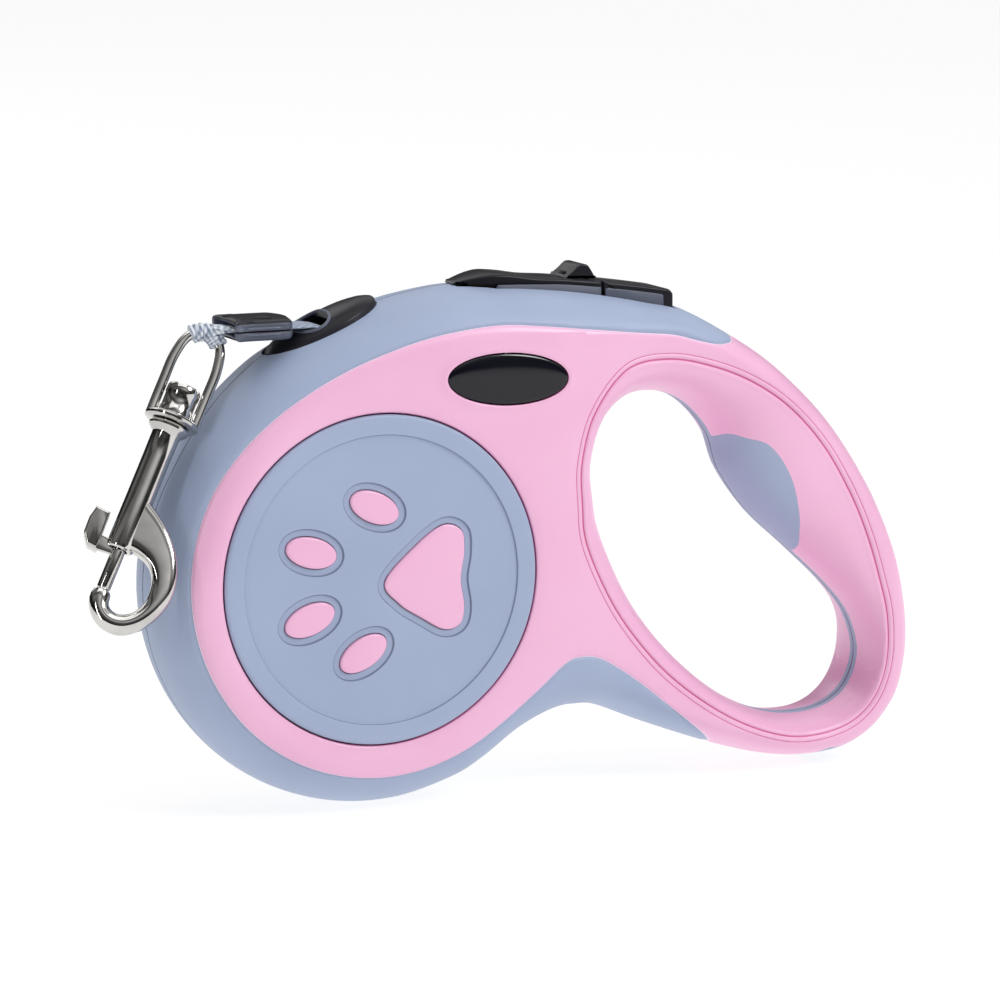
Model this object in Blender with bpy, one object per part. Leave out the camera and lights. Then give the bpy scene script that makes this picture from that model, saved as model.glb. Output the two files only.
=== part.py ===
"""Retractable pet leash: a ring-handled casing, a spring-driven tape spool, a thumb brake and a bolt snap.

Dimensions are in millimetres, in a drawing frame whose origin is the spool axis in the middle plane:
+X towards the handle, +Z up, the front of the casing towards -Y. The world origin is the centre of the grip.
"""

import math

import bmesh
import bpy
from mathutils import Matrix, Vector
from mathutils.geometry import delaunay_2d_cdt

MM = 0.001
GAP = 0.3
SEAM = 0.15
HAND_GRIP = Vector((104.0, 0.0, 16.0))

# Casing
DRUM_CENTRE = (1.4, -1.5)
DRUM_RADIUS = 50.0
DRUM_HALF_DEPTH = 17.0
HANDLE_HALF_DEPTH = 14.0
DRUM_ROUNDING = 11.0
HANDLE_ROUNDING = 5.6
HANDLE_THINNING = 1.6
TAPER_START = 38.0
TAPER_END = 78.0
WALL = 3.0
SKIN = 1.3
OUTLINE_AFTER_DRUM = [
    (27.8, -43.9), (36.5, -38.0), (44.6, -34.5), (50.6, -33.8), (56.7, -34.6), (69.0, -39.6), (84.8, -45.4),
    (96.6, -48.7), (106.0, -49.9), (114.8, -49.4), (121.2, -47.0), (126.5, -42.7), (131.0, -35.5),
    (133.0, -24.5), (132.0, -12.5), (128.9, -0.9), (122.1, 13.5), (112.0, 28.0), (99.2, 40.3), (87.5, 48.2),
    (76.1, 54.1), (67.0, 56.4), (57.5, 58.4), (46.5, 60.1), (34.0, 61.2), (22.4, 61.3), (13.6, 60.2),
    (6.0, 58.6), (-5.6, 55.3), (-15.0, 51.1), (-23.6, 45.9), (-33.0, 37.0),
]
HOLE_OUTLINE = [
    (53.2, 22.0), (53.6, 15.0), (55.3, 7.4), (59.9, -3.6), (65.2, -12.8), (73.3, -22.6), (83.8, -31.9),
    (94.2, -37.8), (103.6, -40.3), (113.3, -39.6), (119.9, -35.3), (122.6, -27.6), (120.4, -19.0),
    (114.6, -11.5), (105.0, -2.5), (95.0, 6.6), (87.9, 16.4), (85.0, 24.6), (80.4, 30.6), (75.0, 34.3),
    (68.3, 35.6), (61.8, 34.4), (56.2, 30.2),
]
# Where the flare of the hole meets each flat face, one point for each point of HOLE_OUTLINE
HOLE_LIP = [
    (47.4, 22.5), (47.5, 13.5), (48.5, 4.8), (53.6, -6.6), (59.8, -16.0), (69.3, -26.4), (81.5, -35.6),
    (93.3, -41.4), (104.0, -43.6), (114.8, -42.0), (121.5, -36.8), (124.9, -28.4), (125.0, -17.8),
    (122.6, -8.0), (119.5, 1.5), (115.2, 11.0), (108.3, 22.0), (99.6, 31.2), (90.2, 37.6), (80.0, 41.8),
    (69.0, 44.0), (58.6, 42.3), (50.6, 33.2),
]
# Edge between the hard casing and the soft rim, as (angle in degrees, radius) round the spool axis
RIM_EDGE = [
    (72, 55.6), (80, 52.1), (88, 49.2), (96, 47.1), (104, 45.5), (112, 44.4), (122, 43.6), (135, 43.1),
    (150, 43.0), (165, 43.0), (180, 43.0), (195, 43.0), (210, 43.1), (225, 43.3), (240, 43.5), (255, 43.65),
    (270, 43.8), (284, 43.9), (297, 44.0), (310, 44.4), (321, 45.4),
]
RIM_EDGE_LOWER = [
    (43.1, -21.9), (47.6, -20.6), (53.0, -21.8), (62.5, -28.0), (73.0, -36.5), (79.0, -41.2), (86.0, -46.6),
]
RIM_EDGE_UPPER = [
    (94.0, 52.5), (88.5, 47.6), (83.0, 46.7), (77.6, 47.4), (70.5, 49.3), (62.0, 50.3), (50.0, 51.8),
    (38.0, 53.2), (28.0, 53.9),
]

# Round covers and paw
DISC_RADIUS = 36.0
DISC_FACE = 17.3
DISC_THICKNESS = 1.8
POCKET_FLOOR = 14.4
POCKET_BACK = 12.6
PAW_PLATE_RADIUS = 27.0
TOE_PADS = [(-1.6, 15.9, 24), (-16.2, 7.0, 15), (-16.6, -7.6, -20), (-4.3, -15.8, -30)]
TOE_SIZE = (5.9, 3.3)
HEEL_PAD = [(0.8, -0.6), (7.5, 6.5), (14.2, 11.0), (18.6, 9.6), (19.2, 4.8), (18.4, -1.0), (19.2, -7.0),
            (18.2, -10.9), (14.4, -11.8), (9.0, -8.8), (4.1, -5.5)]
BADGE_CENTRE = (29.6, 42.1)
BADGE_SIZE = (14.0, 5.5)

# Spool, tape and spring
TAPE_WIDTH = 10.0
TAPE_THICKNESS = 0.7
HUB_RADIUS = 20.0
WINDING_RADIUS = 38.9
FLANGE_RADIUS = 41.5
RATCHET_DEPTH = 2.2
RATCHET_TEETH = 24
HUB_HALF_WIDTH = 10.0
AXLE_RADIUS = 4.0

# Tape outlet, stopper block and bolt snap
MOUTH = Vector((-8.2, 0.0, 53.6))
NOZZLE_CENTRE = (-8.2, 54.2)
NOZZLE_SLOPE = 26.0
NOZZLE_SIZE = (13.8, 8.4)
STOPPER_LEFT = -29.4
STOPPER_RIGHT = -15.2
STOPPER_BOTTOM = 51.9
STOPPER_TOP = 56.2
STOPPER_HALF_WIDTH = 7.9
EYE_TOP = Vector((-33.2, 0.0, 53.4))
HOOK_LOW = Vector((-57.6, -12.1, 10.6))
HOOK_FACING = Vector((-0.33, -0.90, 0.28))

# Top controls
BUTTON_HALF_WIDTH = 6.0
PRESS_DIRECTION = Vector((-0.08, 0.0, -1.0)).normalized()
PAWL_ANGLE = 40.4
SCREW_POINTS = [(43.5, 27.0), (51.5, -12.5), (93.5, 28.5), (116.2, 0.0), (84.0, -40.3)]

PINK = ("pink_plastic", (0.93, 0.55, 0.78), 0.45, 0.0)
BLUE = ("blue_grey_rubber", (0.36, 0.42, 0.58), 0.6, 0.0)
BLACK = ("black_plastic", (0.03, 0.03, 0.04), 0.35, 0.0)
DARK_GREY = ("dark_grey_plastic", (0.09, 0.10, 0.14), 0.45, 0.0)
GLOSS_BLACK = ("gloss_black", (0.01, 0.01, 0.02), 0.1, 0.0)
CHROME = ("chrome", (0.8, 0.8, 0.8), 0.12, 1.0)
STEEL = ("steel", (0.55, 0.55, 0.57), 0.3, 1.0)
WHITE = ("white_plastic", (0.8, 0.8, 0.78), 0.5, 0.0)
TAPE = ("tape_webbing", (0.45, 0.52, 0.66), 0.85, 0.0)


# ---------------------------------------------------------------- helpers


def material(spec):
    name, colour, roughness, metallic = spec
    found = bpy.data.materials.get(name)
    if found:
        return found
    made = bpy.data.materials.new(name)
    made.use_nodes = True
    shader = made.node_tree.nodes["Principled BSDF"]
    shader.inputs["Base Color"].default_value = (*colour, 1.0)
    shader.inputs["Roughness"].default_value = roughness
    shader.inputs["Metallic"].default_value = metallic
    made.diffuse_color = (*colour, 1.0)
    return made


def finish(name, bm, finish_spec, pivot=(0, 0, 0), smooth=40):
    """Turns a bmesh in the drawing frame into an object whose origin is the pivot."""
    centre = Vector(pivot)
    bmesh.ops.recalc_face_normals(bm, faces=bm.faces)
    for vertex in bm.verts:
        vertex.co = (vertex.co - centre) * MM
    mesh = bpy.data.meshes.new(name)
    bm.to_mesh(mesh)
    bm.free()
    if finish_spec:
        mesh.materials.append(material(finish_spec))
    mesh.shade_smooth()
    mesh.set_sharp_from_angle(angle=math.radians(smooth))
    made = bpy.data.objects.new(name, mesh)
    bpy.context.scene.collection.objects.link(made)
    made.parent = ROOT
    made.location = centre * MM
    return made


def helper(name, bm):
    """A cutter or a guide, which is not a piece of the leash."""
    made = finish(name, bm, None)
    made.hide_render = True
    made.display_type = "WIRE"
    return made


def boolean(target, other, operation="DIFFERENCE", solver="EXACT"):
    modifier = target.modifiers.new(operation.lower() + "_" + other.name, "BOOLEAN")
    modifier.object = other
    modifier.operation = operation
    modifier.solver = solver
    return target


def bevel(target, width, segments=1, angle=35):
    modifier = target.modifiers.new("bevel", "BEVEL")
    modifier.width = width * MM
    modifier.segments = segments
    modifier.limit_method = "ANGLE"
    modifier.angle_limit = math.radians(angle)
    return target


def smooth_loop(points, per_span):
    """A closed Catmull-Rom curve through the points."""
    loop = []
    count = len(points)
    for i in range(count):
        p0, p1, p2, p3 = (Vector(points[(i + k - 1) % count]) for k in range(4))
        for step in range(per_span):
            t = step / per_span
            loop.append(
                0.5 * (2 * p1 + (p2 - p0) * t + (2 * p0 - 5 * p1 + 4 * p2 - p3) * t**2
                       + (3 * p1 - p0 - 3 * p2 + p3) * t**3)
            )
    return loop


def circle(centre, radius, count, start=0.0, end=360.0):
    """Points round a circle or an arc in the XZ plane."""
    full = abs(end - start) >= 360.0
    steps = count if full else count - 1
    points = []
    for i in range(count):
        angle = math.radians(start + (end - start) * i / steps)
        points.append(Vector((centre[0] + radius * math.cos(angle), centre[1] + radius * math.sin(angle))))
    return points


def ellipse(centre, size, turn, count):
    """Points round an ellipse in the XZ plane, turned clockwise by degrees."""
    angle = math.radians(-turn)
    points = []
    for i in range(count):
        t = 2 * math.pi * i / count
        x, z = size[0] * math.cos(t), size[1] * math.sin(t)
        points.append(Vector((centre[0] + x * math.cos(angle) - z * math.sin(angle),
                              centre[1] + x * math.sin(angle) + z * math.cos(angle))))
    return points


def loft(bm, rings, closed=True, capped=True):
    """Joins rings of equal length with quads, and caps the first and the last."""
    loops = [[bm.verts.new(point) for point in ring] for ring in rings]
    spans = list(zip(loops, loops[1:]))
    if not capped and closed:
        spans.append((loops[-1], loops[0]))
    for lower, upper in spans:
        for i in range(len(lower)):
            j = (i + 1) % len(lower)
            bm.faces.new((lower[i], lower[j], upper[j], upper[i]))
    if capped:
        bm.faces.new(loops[0])
        bm.faces.new(loops[-1])
    return bm


def prism(outline, y0, y1):
    """The XZ outline extruded along Y."""
    rings = [[Vector((p[0], y, p[1])) for p in outline] for y in (y0, y1)]
    return loft(bmesh.new(), rings)


def box(low, high):
    outline = [(low[0], low[2]), (high[0], low[2]), (high[0], high[2]), (low[0], high[2])]
    return prism(outline, low[1], high[1])


def axes_of(axis, facing):
    """Unit vectors along an axis, across it, and towards its face."""
    along = Vector(axis).normalized()
    face = Vector(facing) - Vector(facing).dot(along) * along
    face.normalize()
    across = face.cross(along)
    return along, across, face


def revolve(profile, steps, origin=(0, 0, 0), axis=(0, 1, 0), facing=(0, 0, 1), radius_at=None):
    """Turns a profile of (radius, distance along the axis) round the axis. It closes on itself."""
    along, across, face = axes_of(axis, facing)
    bm = bmesh.new()
    poles = {}
    columns = []
    for step in range(steps):
        angle = 2 * math.pi * step / steps
        outward = across * math.cos(angle) + face * math.sin(angle)
        column = []
        for index, (radius, distance) in enumerate(profile):
            if radius == 0:
                if index not in poles:
                    poles[index] = bm.verts.new(Vector(origin) + along * distance)
                column.append(poles[index])
                continue
            if radius_at:
                radius = radius_at(radius, step)
            column.append(bm.verts.new(Vector(origin) + along * distance + outward * radius))
        columns.append(column)
    count = len(profile)
    for step in range(steps):
        here, there = columns[step], columns[(step + 1) % steps]
        for i in range(count):
            j = (i + 1) % count
            corners = []
            for vertex in (here[i], here[j], there[j], there[i]):
                if vertex not in corners:
                    corners.append(vertex)
            if len(corners) > 2:
                bm.faces.new(corners)
    return bm


def sweep(path, radius, sides, closed=False, up=(0, 1, 0), flat=1.0):
    """A tube of constant or given radius along a path. flat squashes it across the up direction."""
    count = len(path)
    rings = []
    for i, point in enumerate(path):
        before = path[(i - 1) % count] if closed or i > 0 else point
        after = path[(i + 1) % count] if closed or i < count - 1 else point
        along, across, face = axes_of(after - before, up)
        size = radius(i / (count - 1)) if callable(radius) else radius
        ring = []
        for k in range(sides):
            angle = 2 * math.pi * (k + 0.5) / sides
            ring.append(point + (across * math.cos(angle) * flat + face * math.sin(angle)) * size)
        rings.append(ring)
    return loft(bmesh.new(), rings, closed=closed, capped=not closed)


# ---------------------------------------------------------------- casing


def blend(x, low, high):
    """low at the drum, high at the handle, and a smooth change between them."""
    t = min(max((x - TAPER_START) / (TAPER_END - TAPER_START), 0.0), 1.0)
    return low + (high - low) * t * t * (3 - 2 * t)


def half_depth(x):
    """Half of the casing's thickness at x."""
    t = min(max((x - 95.0) / 25.0, 0.0), 1.0)
    return blend(x, DRUM_HALF_DEPTH, HANDLE_HALF_DEPTH) - HANDLE_THINNING * t * t * (3 - 2 * t)


def rounding(x):
    return blend(x, DRUM_ROUNDING, HANDLE_ROUNDING)


def casing_outline(detail=2):
    drum = circle(DRUM_CENTRE, DRUM_RADIUS, 10, 148, 292)
    return smooth_loop(drum + [Vector(p) for p in OUTLINE_AFTER_DRUM], detail)


def hole_outline(detail=2):
    return smooth_loop(HOLE_OUTLINE, detail)


def flare(detail=2):
    """For each point of the hole's outline, the way to the lip of its flare and how far the lip is."""
    ways = [lip - point for point, lip in zip(hole_outline(detail), smooth_loop(HOLE_LIP, detail))]
    return [way.normalized() for way in ways], [way.length for way in ways]


def inward_normals(loop, turn):
    normals = []
    for i in range(len(loop)):
        along = (loop[(i + 1) % len(loop)] - loop[i - 1]).normalized()
        normals.append(Vector((-along[1], along[0])) * turn)
    return normals


def inside(point, loop):
    found = False
    for i in range(len(loop)):
        a, b = loop[i], loop[i - 1]
        if (a[1] > point[1]) != (b[1] > point[1]):
            if point[0] < (b[0] - a[0]) * (point[1] - a[1]) / (b[1] - a[1]) + a[0]:
                found = not found
    return found


def fill_between(bm, outer, hole):
    """Faces over the area between two rings of vertices that lie one inside the other."""
    rings = outer + hole
    flat = [Vector((v.co.x, v.co.z)) for v in rings]
    first = len(outer)
    edges = [(i, (i + 1) % first) for i in range(first)]
    edges += [(first + i, first + (i + 1) % len(hole)) for i in range(len(hole))]
    points, _, faces, origins, _, _ = delaunay_2d_cdt(flat, edges, [], 0, 1e-6)
    outer_flat, hole_flat = flat[:first], flat[first:]
    for face in faces:
        middle = sum((points[i] for i in face), Vector((0, 0))) / len(face)
        if inside(middle, outer_flat) and not inside(middle, hole_flat):
            bm.faces.new([rings[origins[i][0]] for i in face])


def half_casing(side, inset=0.0, rim=SEAM, detail=2):
    """One half of the casing as a solid, moved in by inset. side is -1 for the front, 1 for the rear."""
    bm = bmesh.new()
    rings = []
    outline = casing_outline(detail)
    around = (outline, inward_normals(outline, 1), [rounding(point[0]) for point in outline])
    for loop, ways, widths in (around, (hole_outline(detail), *flare(detail))):
        levels = []
        for angle in (0, 22, 44, 66, 90) if detail > 1 else (0, 45, 90):
            t = math.radians(angle)
            level = []
            for point, way, width in zip(loop, ways, widths):
                reach = max(width - inset, 0.5)
                flat = point + way * (inset + reach * (1 - math.cos(t)))
                depth = max((half_depth(flat[0]) - inset) * math.sin(t), rim) if angle else rim
                level.append(bm.verts.new((flat[0], side * depth, flat[1])))
            levels.append(level)
        for lower, upper in zip(levels, levels[1:]):
            for i in range(len(loop)):
                j = (i + 1) % len(loop)
                bm.faces.new((lower[i], lower[j], upper[j], upper[i]))
        rings.append((levels[0], levels[-1]))
    for level in (0, 1):
        fill_between(bm, rings[0][level], rings[1][level])
    return bm


def hard_area():
    """Outline of the area that the soft rim leaves free."""
    edge = []
    for angle, radius in RIM_EDGE:
        t = math.radians(angle)
        edge.append(Vector((radius * math.cos(t), radius * math.sin(t))))
    far = [(100.0, -70.0), (150.0, -70.0), (150.0, 70.0), (100.0, 70.0)]
    curve = edge + [Vector(p) for p in RIM_EDGE_LOWER + RIM_EDGE_UPPER]
    loop = smooth_loop(curve, 2)
    start = 2 * (len(edge) + len(RIM_EDGE_LOWER) - 1)
    return loop[: start + 1] + [Vector(p) for p in far] + loop[start + 2:]


def ellipsoid(centre, along, size, rings=8, sides=16):
    """An ellipsoid with its long axis along a direction in the XZ plane."""
    direction = Vector((along[0], 0, along[1])).normalized()
    normal = Vector((direction.z, 0, -direction.x))
    profile = [(math.sin(math.pi * i / rings), -math.cos(math.pi * i / rings)) for i in range(rings + 1)]
    profile[0] = (0, -1.0)
    profile[-1] = (0, 1.0)
    bm = revolve(profile, sides)
    for vertex in bm.verts:
        across, depth, high = vertex.co.x, vertex.co.y, vertex.co.z
        vertex.co = (Vector((centre[0], 0, centre[1])) + direction * across * size[0]
                     + Vector((0, depth * size[1], 0)) + normal * high * size[2])
    return bm


def skin_piece(name, side, region, operation):
    """A soft skin over part of one half of the casing."""
    piece = finish(name, half_casing(side), BLUE)
    boolean(piece, region, operation, solver="MANIFOLD")
    boolean(piece, INNER[side], solver="MANIFOLD")
    return piece


def skin_space(name, side, region, operation):
    """What a soft skin takes out of the hard casing: its own space and a small gap under it."""
    space = helper(name, half_casing(side, -0.5, -1.0))
    boolean(space, region, operation, solver="MANIFOLD")
    return boolean(space, UNDER[side], solver="MANIFOLD")


def grip_region(label, margin):
    """The middle strip round the finger hole, and the pad where the fingers close."""
    loop = hole_outline()
    wide = [p + n * 5.0 for p, n in zip(loop, inward_normals(loop, -1))]
    strip = helper("grip_strip" + label, prism(wide, -1.8 - margin, 1.8 + margin))
    size = (18.0 + margin, 13.0 + margin, 14.0 + margin)
    return boolean(strip, helper("grip_pad" + label, ellipsoid((95.4, 12.0), (0.59, -0.81), size)), "UNION")


def palm_region(label, margin):
    size = (19.0 + margin, 9.0 + margin, 7.0 + margin)
    return helper("palm_region" + label, ellipsoid((125.5, -45.0), (0.72, 0.69), size))


def nose_sides(margin):
    """What is left off both sides of the button group so that its nose tapers."""
    wedges = []
    for side in (-1, 1):
        wide, narrow = side * (BUTTON_HALF_WIDTH + margin), side * (2.2 + margin)
        outline = [(31.5, wide), (19.5, narrow), (19.5, side * 12), (31.5, side * 12)]
        rings = [[Vector((x, y, z)) for x, y in outline] for z in (45, 75)]
        wedges.append(helper(f"nose_side_{side}_{margin}", loft(bmesh.new(), rings)))
    return wedges


def openings():
    """What goes through both halves and their soft rims: the tape outlet and the group of buttons."""
    half = BUTTON_HALF_WIDTH + GAP
    slot = [(22.97, 50.13), (74.33, 48.21), (74.41, 70.0), (23.02, 70.0)]
    outlet = helper("nozzle_opening", nozzle_blank(GAP, 2.0))
    slot_space = helper("button_opening", prism(slot, -half, half))
    for wedge in nose_sides(GAP):
        boolean(slot_space, wedge, solver="MANIFOLD")
    return [outlet, slot_space]


def cavity(side):
    """The hollow of one half: what is left round the pocket, bosses and ribs stays wall."""
    hollow = helper(f"hollow_{side}", half_casing(side, WALL, -1.0, detail=1))
    sign = side
    walls = [prism(circle((0, 0), DISC_RADIUS + 2.4, 40), sign * POCKET_BACK, sign * 20)]
    walls.append(revolve([(AXLE_RADIUS + 0.2, sign * 10.4), (7.0, sign * 10.4), (7.0, sign * 14),
                          (AXLE_RADIUS + 0.2, sign * 14)], 24))
    for point in SCREW_POINTS:
        walls.append(prism(circle(point, 3.7 if side < 0 else 4.2, 12), sign * (SEAM + 0.2), sign * 20))
    spring_seat = [(66.5, 41.5), (73.5, 40.5), (74.3, 43.6), (67.3, 44.6)]
    walls.append(prism(spring_seat, sign * (SEAM + 0.2), sign * 20))
    for index, bm in enumerate(walls):
        boolean(hollow, helper(f"wall_{side}_{index}", bm), solver="MANIFOLD")
    return hollow


def grown(loop, margin):
    """The loop moved outwards by a margin."""
    area = sum(loop[i - 1][0] * loop[i][1] - loop[i][0] * loop[i - 1][1] for i in range(len(loop)))
    normals = inward_normals(loop, -1 if area > 0 else 1)
    return [point + normal * margin for point, normal in zip(loop, normals)]


def paw_outlines():
    """The four toes and the heel, each with its centre."""
    outlines = [(ellipse((x, z), TOE_SIZE, turn, 16), Vector((x, z))) for x, z, turn in TOE_PADS]
    return outlines + [(smooth_loop(HEEL_PAD, 2), Vector((12.5, -0.8)))]


def shell(name, side, soft_spaces):
    piece = finish(name, half_casing(side), PINK)
    for space in soft_spaces + OPENINGS + [cavity(side)]:
        boolean(piece, space, solver="MANIFOLD")
    low, high = sorted((side * POCKET_FLOOR, side * 20))
    boolean(piece, helper(f"pocket_{side}", prism(circle((0, 0), DISC_RADIUS + GAP, 60), low, high)))
    badge = ellipse(BADGE_CENTRE, (BADGE_SIZE[0] + GAP, BADGE_SIZE[1] + GAP), 2.4, 24)
    low, high = sorted((side * 15.9, side * 20))
    boolean(piece, helper(f"badge_pocket_{side}", prism(badge, low, high)))
    for index, point in enumerate(SCREW_POINTS):
        if side < 0:
            holes = [prism(circle(point, 1.75, 10), -10.5, 1)]
        else:
            holes = [prism(circle(point, 1.75, 10), -1, 20), prism(circle(point, 2.9, 12), 9.0, 20)]
        for k, bm in enumerate(holes):
            boolean(piece, helper(f"screw_hole_{side}_{index}_{k}", bm))
    if side > 0:
        boolean(piece, helper("axle_screw_hole", prism(circle((0, 0), 2.0, 12), 10, 20)))
        boolean(piece, helper("axle_screw_recess", prism(circle((0, 0), 3.7, 16), 13.3, 20)))
    return piece


def disc(name, side):
    low, high = sorted((side * (DISC_FACE - DISC_THICKNESS), side * DISC_FACE))
    piece = finish(name, prism(circle((0, 0), DISC_RADIUS, 60), low, high), BLUE)
    low, high = sorted((side * 12, side * 19))
    for index, (outline, _) in enumerate(paw_outlines()):
        boolean(piece, helper(f"{name}_hole_{index}", prism(grown(outline, GAP), low, high)))
    return piece


def paw_inlay(name, side):
    """The pads, which stand on one thin plate behind the disc."""
    back, front = side * (POCKET_FLOOR + GAP), side * (DISC_FACE - DISC_THICKNESS - GAP)
    piece = finish(name, prism(circle((0, 0), PAW_PLATE_RADIUS, 24), *sorted((back, front))), PINK)
    top = side * (DISC_FACE - 0.1)
    levels = [(1.0, front - side * 0.2), (1.0, top - side * 0.5), (0.8, top)]
    for index, (outline, middle) in enumerate(paw_outlines()):
        rings = []
        for scale, depth in levels:
            flat = [middle + (point - middle) * scale for point in outline]
            rings.append([Vector((point[0], depth, point[1])) for point in flat])
        boolean(piece, helper(f"{name}_pad_{index}", loft(bmesh.new(), rings)), "UNION")
    return piece


def badge(name, side):
    """A domed oval in its pocket."""
    rings = []
    for scale, depth in ((1.0, 16.2), (1.0, 16.7), (0.93, 17.1), (0.7, 17.25)):
        size = (BADGE_SIZE[0] * scale, BADGE_SIZE[1] * scale)
        rings.append([Vector((p[0], side * depth, p[1])) for p in ellipse(BADGE_CENTRE, size, 2.4, 28)])
    return finish(name, loft(bmesh.new(), rings), GLOSS_BLACK)


# ---------------------------------------------------------------- spool


def ratchet_radius(radius, step):
    """Saw teeth on the flange: three steps round for each tooth."""
    if radius < FLANGE_RADIUS:
        return radius
    return FLANGE_RADIUS - RATCHET_DEPTH * (1.0, 0.0, 0.5)[step % 3]


def spool():
    hub, flange, wide = HUB_RADIUS, FLANGE_RADIUS, HUB_HALF_WIDTH
    inner, outer = TAPE_WIDTH / 2 + 0.6, TAPE_WIDTH / 2 + 1.7
    profile = [
        (5.2, -wide), (hub, -wide), (hub, -outer), (flange, -outer), (flange, -inner), (hub, -inner),
        (hub, inner), (flange, inner), (flange, outer), (hub, outer), (hub, wide), (18.0, wide),
        (18.0, -wide + 1.5), (5.2, -wide + 1.5),
    ]
    facing = Vector((math.cos(math.radians(PAWL_ANGLE)), 0, math.sin(math.radians(PAWL_ANGLE))))
    turned = revolve(profile, 3 * RATCHET_TEETH, facing=facing, radius_at=ratchet_radius)
    return finish("spool", turned, WHITE)


def spool_lid():
    profile = [(5.2, 8.4), (17.6, 8.4), (17.6, 9.7), (5.2, 9.7)]
    return finish("spool_lid", revolve(profile, 40), WHITE)


def tape_winding():
    inner, half = HUB_RADIUS + GAP, TAPE_WIDTH / 2
    profile = [(inner, -half), (WINDING_RADIUS, -half), (WINDING_RADIUS, half), (inner, half)]
    return finish("tape_winding", revolve(profile, 48), TAPE)


def power_spring():
    """A flat spiral from the axle to the inside of the hub."""
    turns, per_turn, thick = 7, 12, 0.5
    rings = []
    for i in range(turns * per_turn + 1):
        angle = 2 * math.pi * i / per_turn
        radius = AXLE_RADIUS + 0.5 + (17.2 - AXLE_RADIUS - 0.5) * i / (turns * per_turn)
        outward = Vector((math.cos(angle), 0, math.sin(angle)))
        inner, outer = outward * radius, outward * (radius + thick)
        rings.append([inner + Vector((0, -8.0, 0)), outer + Vector((0, -8.0, 0)),
                      outer + Vector((0, 8.0, 0)), inner + Vector((0, 8.0, 0))])
    return finish("power_spring", loft(bmesh.new(), rings), STEEL)


def axle():
    profile = [(0, -12.2), (AXLE_RADIUS, -12.2), (AXLE_RADIUS, 12.2), (1.8, 12.2), (1.8, 1.0), (0, 1.0)]
    return finish("axle", revolve(profile, 24), STEEL)


def axle_bush():
    profile = [(AXLE_RADIUS + 0.15, -10.0), (5.0, -10.0), (5.0, -8.6), (AXLE_RADIUS + 0.15, -8.6)]
    return finish("axle_bush", revolve(profile, 24), BLACK)


def screw(name, origin, head_radius, head_depth, shank_length):
    """Origin is under the head. The shank points to -Y."""
    profile = [(0, -shank_length), (1.45, -shank_length), (1.45, 0), (head_radius, 0),
               (head_radius, head_depth), (1.0, head_depth), (0.6, head_depth - 0.5), (0, head_depth - 0.5)]
    return finish(name, revolve(profile, 12, origin=origin), STEEL, pivot=origin)


# ---------------------------------------------------------------- tape outlet and stopper


def nozzle_blank(margin, height):
    """An oval insert along the top of the drum, domed like the casing round it."""
    t = math.radians(NOZZLE_SLOPE)
    along, normal = Vector((math.cos(t), 0, math.sin(t))), Vector((-math.sin(t), 0, math.cos(t)))
    centre = Vector((NOZZLE_CENTRE[0], 0, NOZZLE_CENTRE[1]))
    rings = []
    levels = [(1.0, -7.0)]
    levels += [(1.0, height - 0.9), (0.88, height + 0.2), (0.62, height + 1.0), (0.3, height + 1.5)]
    for scale, level in levels:
        ring = []
        for i in range(24):
            angle = 2 * math.pi * i / 24
            reach = (NOZZLE_SIZE[0] + margin) * scale * math.cos(angle)
            wide = (NOZZLE_SIZE[1] + margin) * scale * math.sin(angle)
            ring.append(centre + along * reach + Vector((0, wide, 0)) + normal * level)
        rings.append(ring)
    return loft(bmesh.new(), rings)


def tape_start():
    """Where the tape leaves the winding: the line from there to the mouth touches the winding's outside."""
    distance = math.hypot(MOUTH.x, MOUTH.z)
    radius = WINDING_RADIUS - TAPE_THICKNESS / 2
    angle = math.atan2(MOUTH.z, MOUTH.x) - math.acos(radius / distance)
    return Vector((radius * math.cos(angle), 0, radius * math.sin(angle)))


def ribbon(points, width, thickness):
    """A flat tape whose width lies along Y."""
    rings = []
    for i, point in enumerate(points):
        along = (points[min(i + 1, len(points) - 1)] - points[max(i - 1, 0)]).normalized()
        normal = Vector((-along.z, 0, along.x))
        rings.append([point + normal * (a * thickness / 2) + Vector((0, b * width / 2, 0))
                      for a, b in ((-1, -1), (1, -1), (1, 1), (-1, 1))])
    return loft(bmesh.new(), rings)


def tape_run():
    """From the winding, straight to the mouth, then over its lip into the stopper block."""
    start = tape_start()
    direction = (MOUTH - start).normalized()
    first = start + direction * 1.5 + Vector((direction.z, 0, -direction.x)) * 0.8
    points = [first, start.lerp(MOUTH, 0.5), MOUTH - direction * 2, MOUTH + Vector((-1.4, 0, 0.2)),
              Vector((-12.5, 0, 54.0)), Vector((-15.5, 0, 54.0)), Vector((-22.0, 0, 54.0))]
    return finish("tape_run", ribbon(points, TAPE_WIDTH, TAPE_THICKNESS), TAPE, pivot=MOUTH)


def nozzle():
    piece = finish("nozzle", nozzle_blank(0, 0), BLACK)
    start = tape_start()
    direction = (MOUTH - start).normalized()
    route = [MOUTH - direction * 16, MOUTH + direction * 8]
    channel = helper("tape_channel", ribbon(route, TAPE_WIDTH + 2.4, 3.4))
    boolean(piece, channel)
    return boolean(piece, helper("tape_lip", box((-14.5, -6.2, 52.7), (-7.0, 6.2, 60.0))))


def stopper_outline():
    half = STOPPER_HALF_WIDTH
    left, right = STOPPER_LEFT, STOPPER_RIGHT
    return [(left, -half), (right - 1.8, -half + 0.5), (right - 0.6, -4.6), (right, 0), (right - 0.6, 4.6),
            (right - 1.8, half - 0.5), (left, half)]


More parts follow.
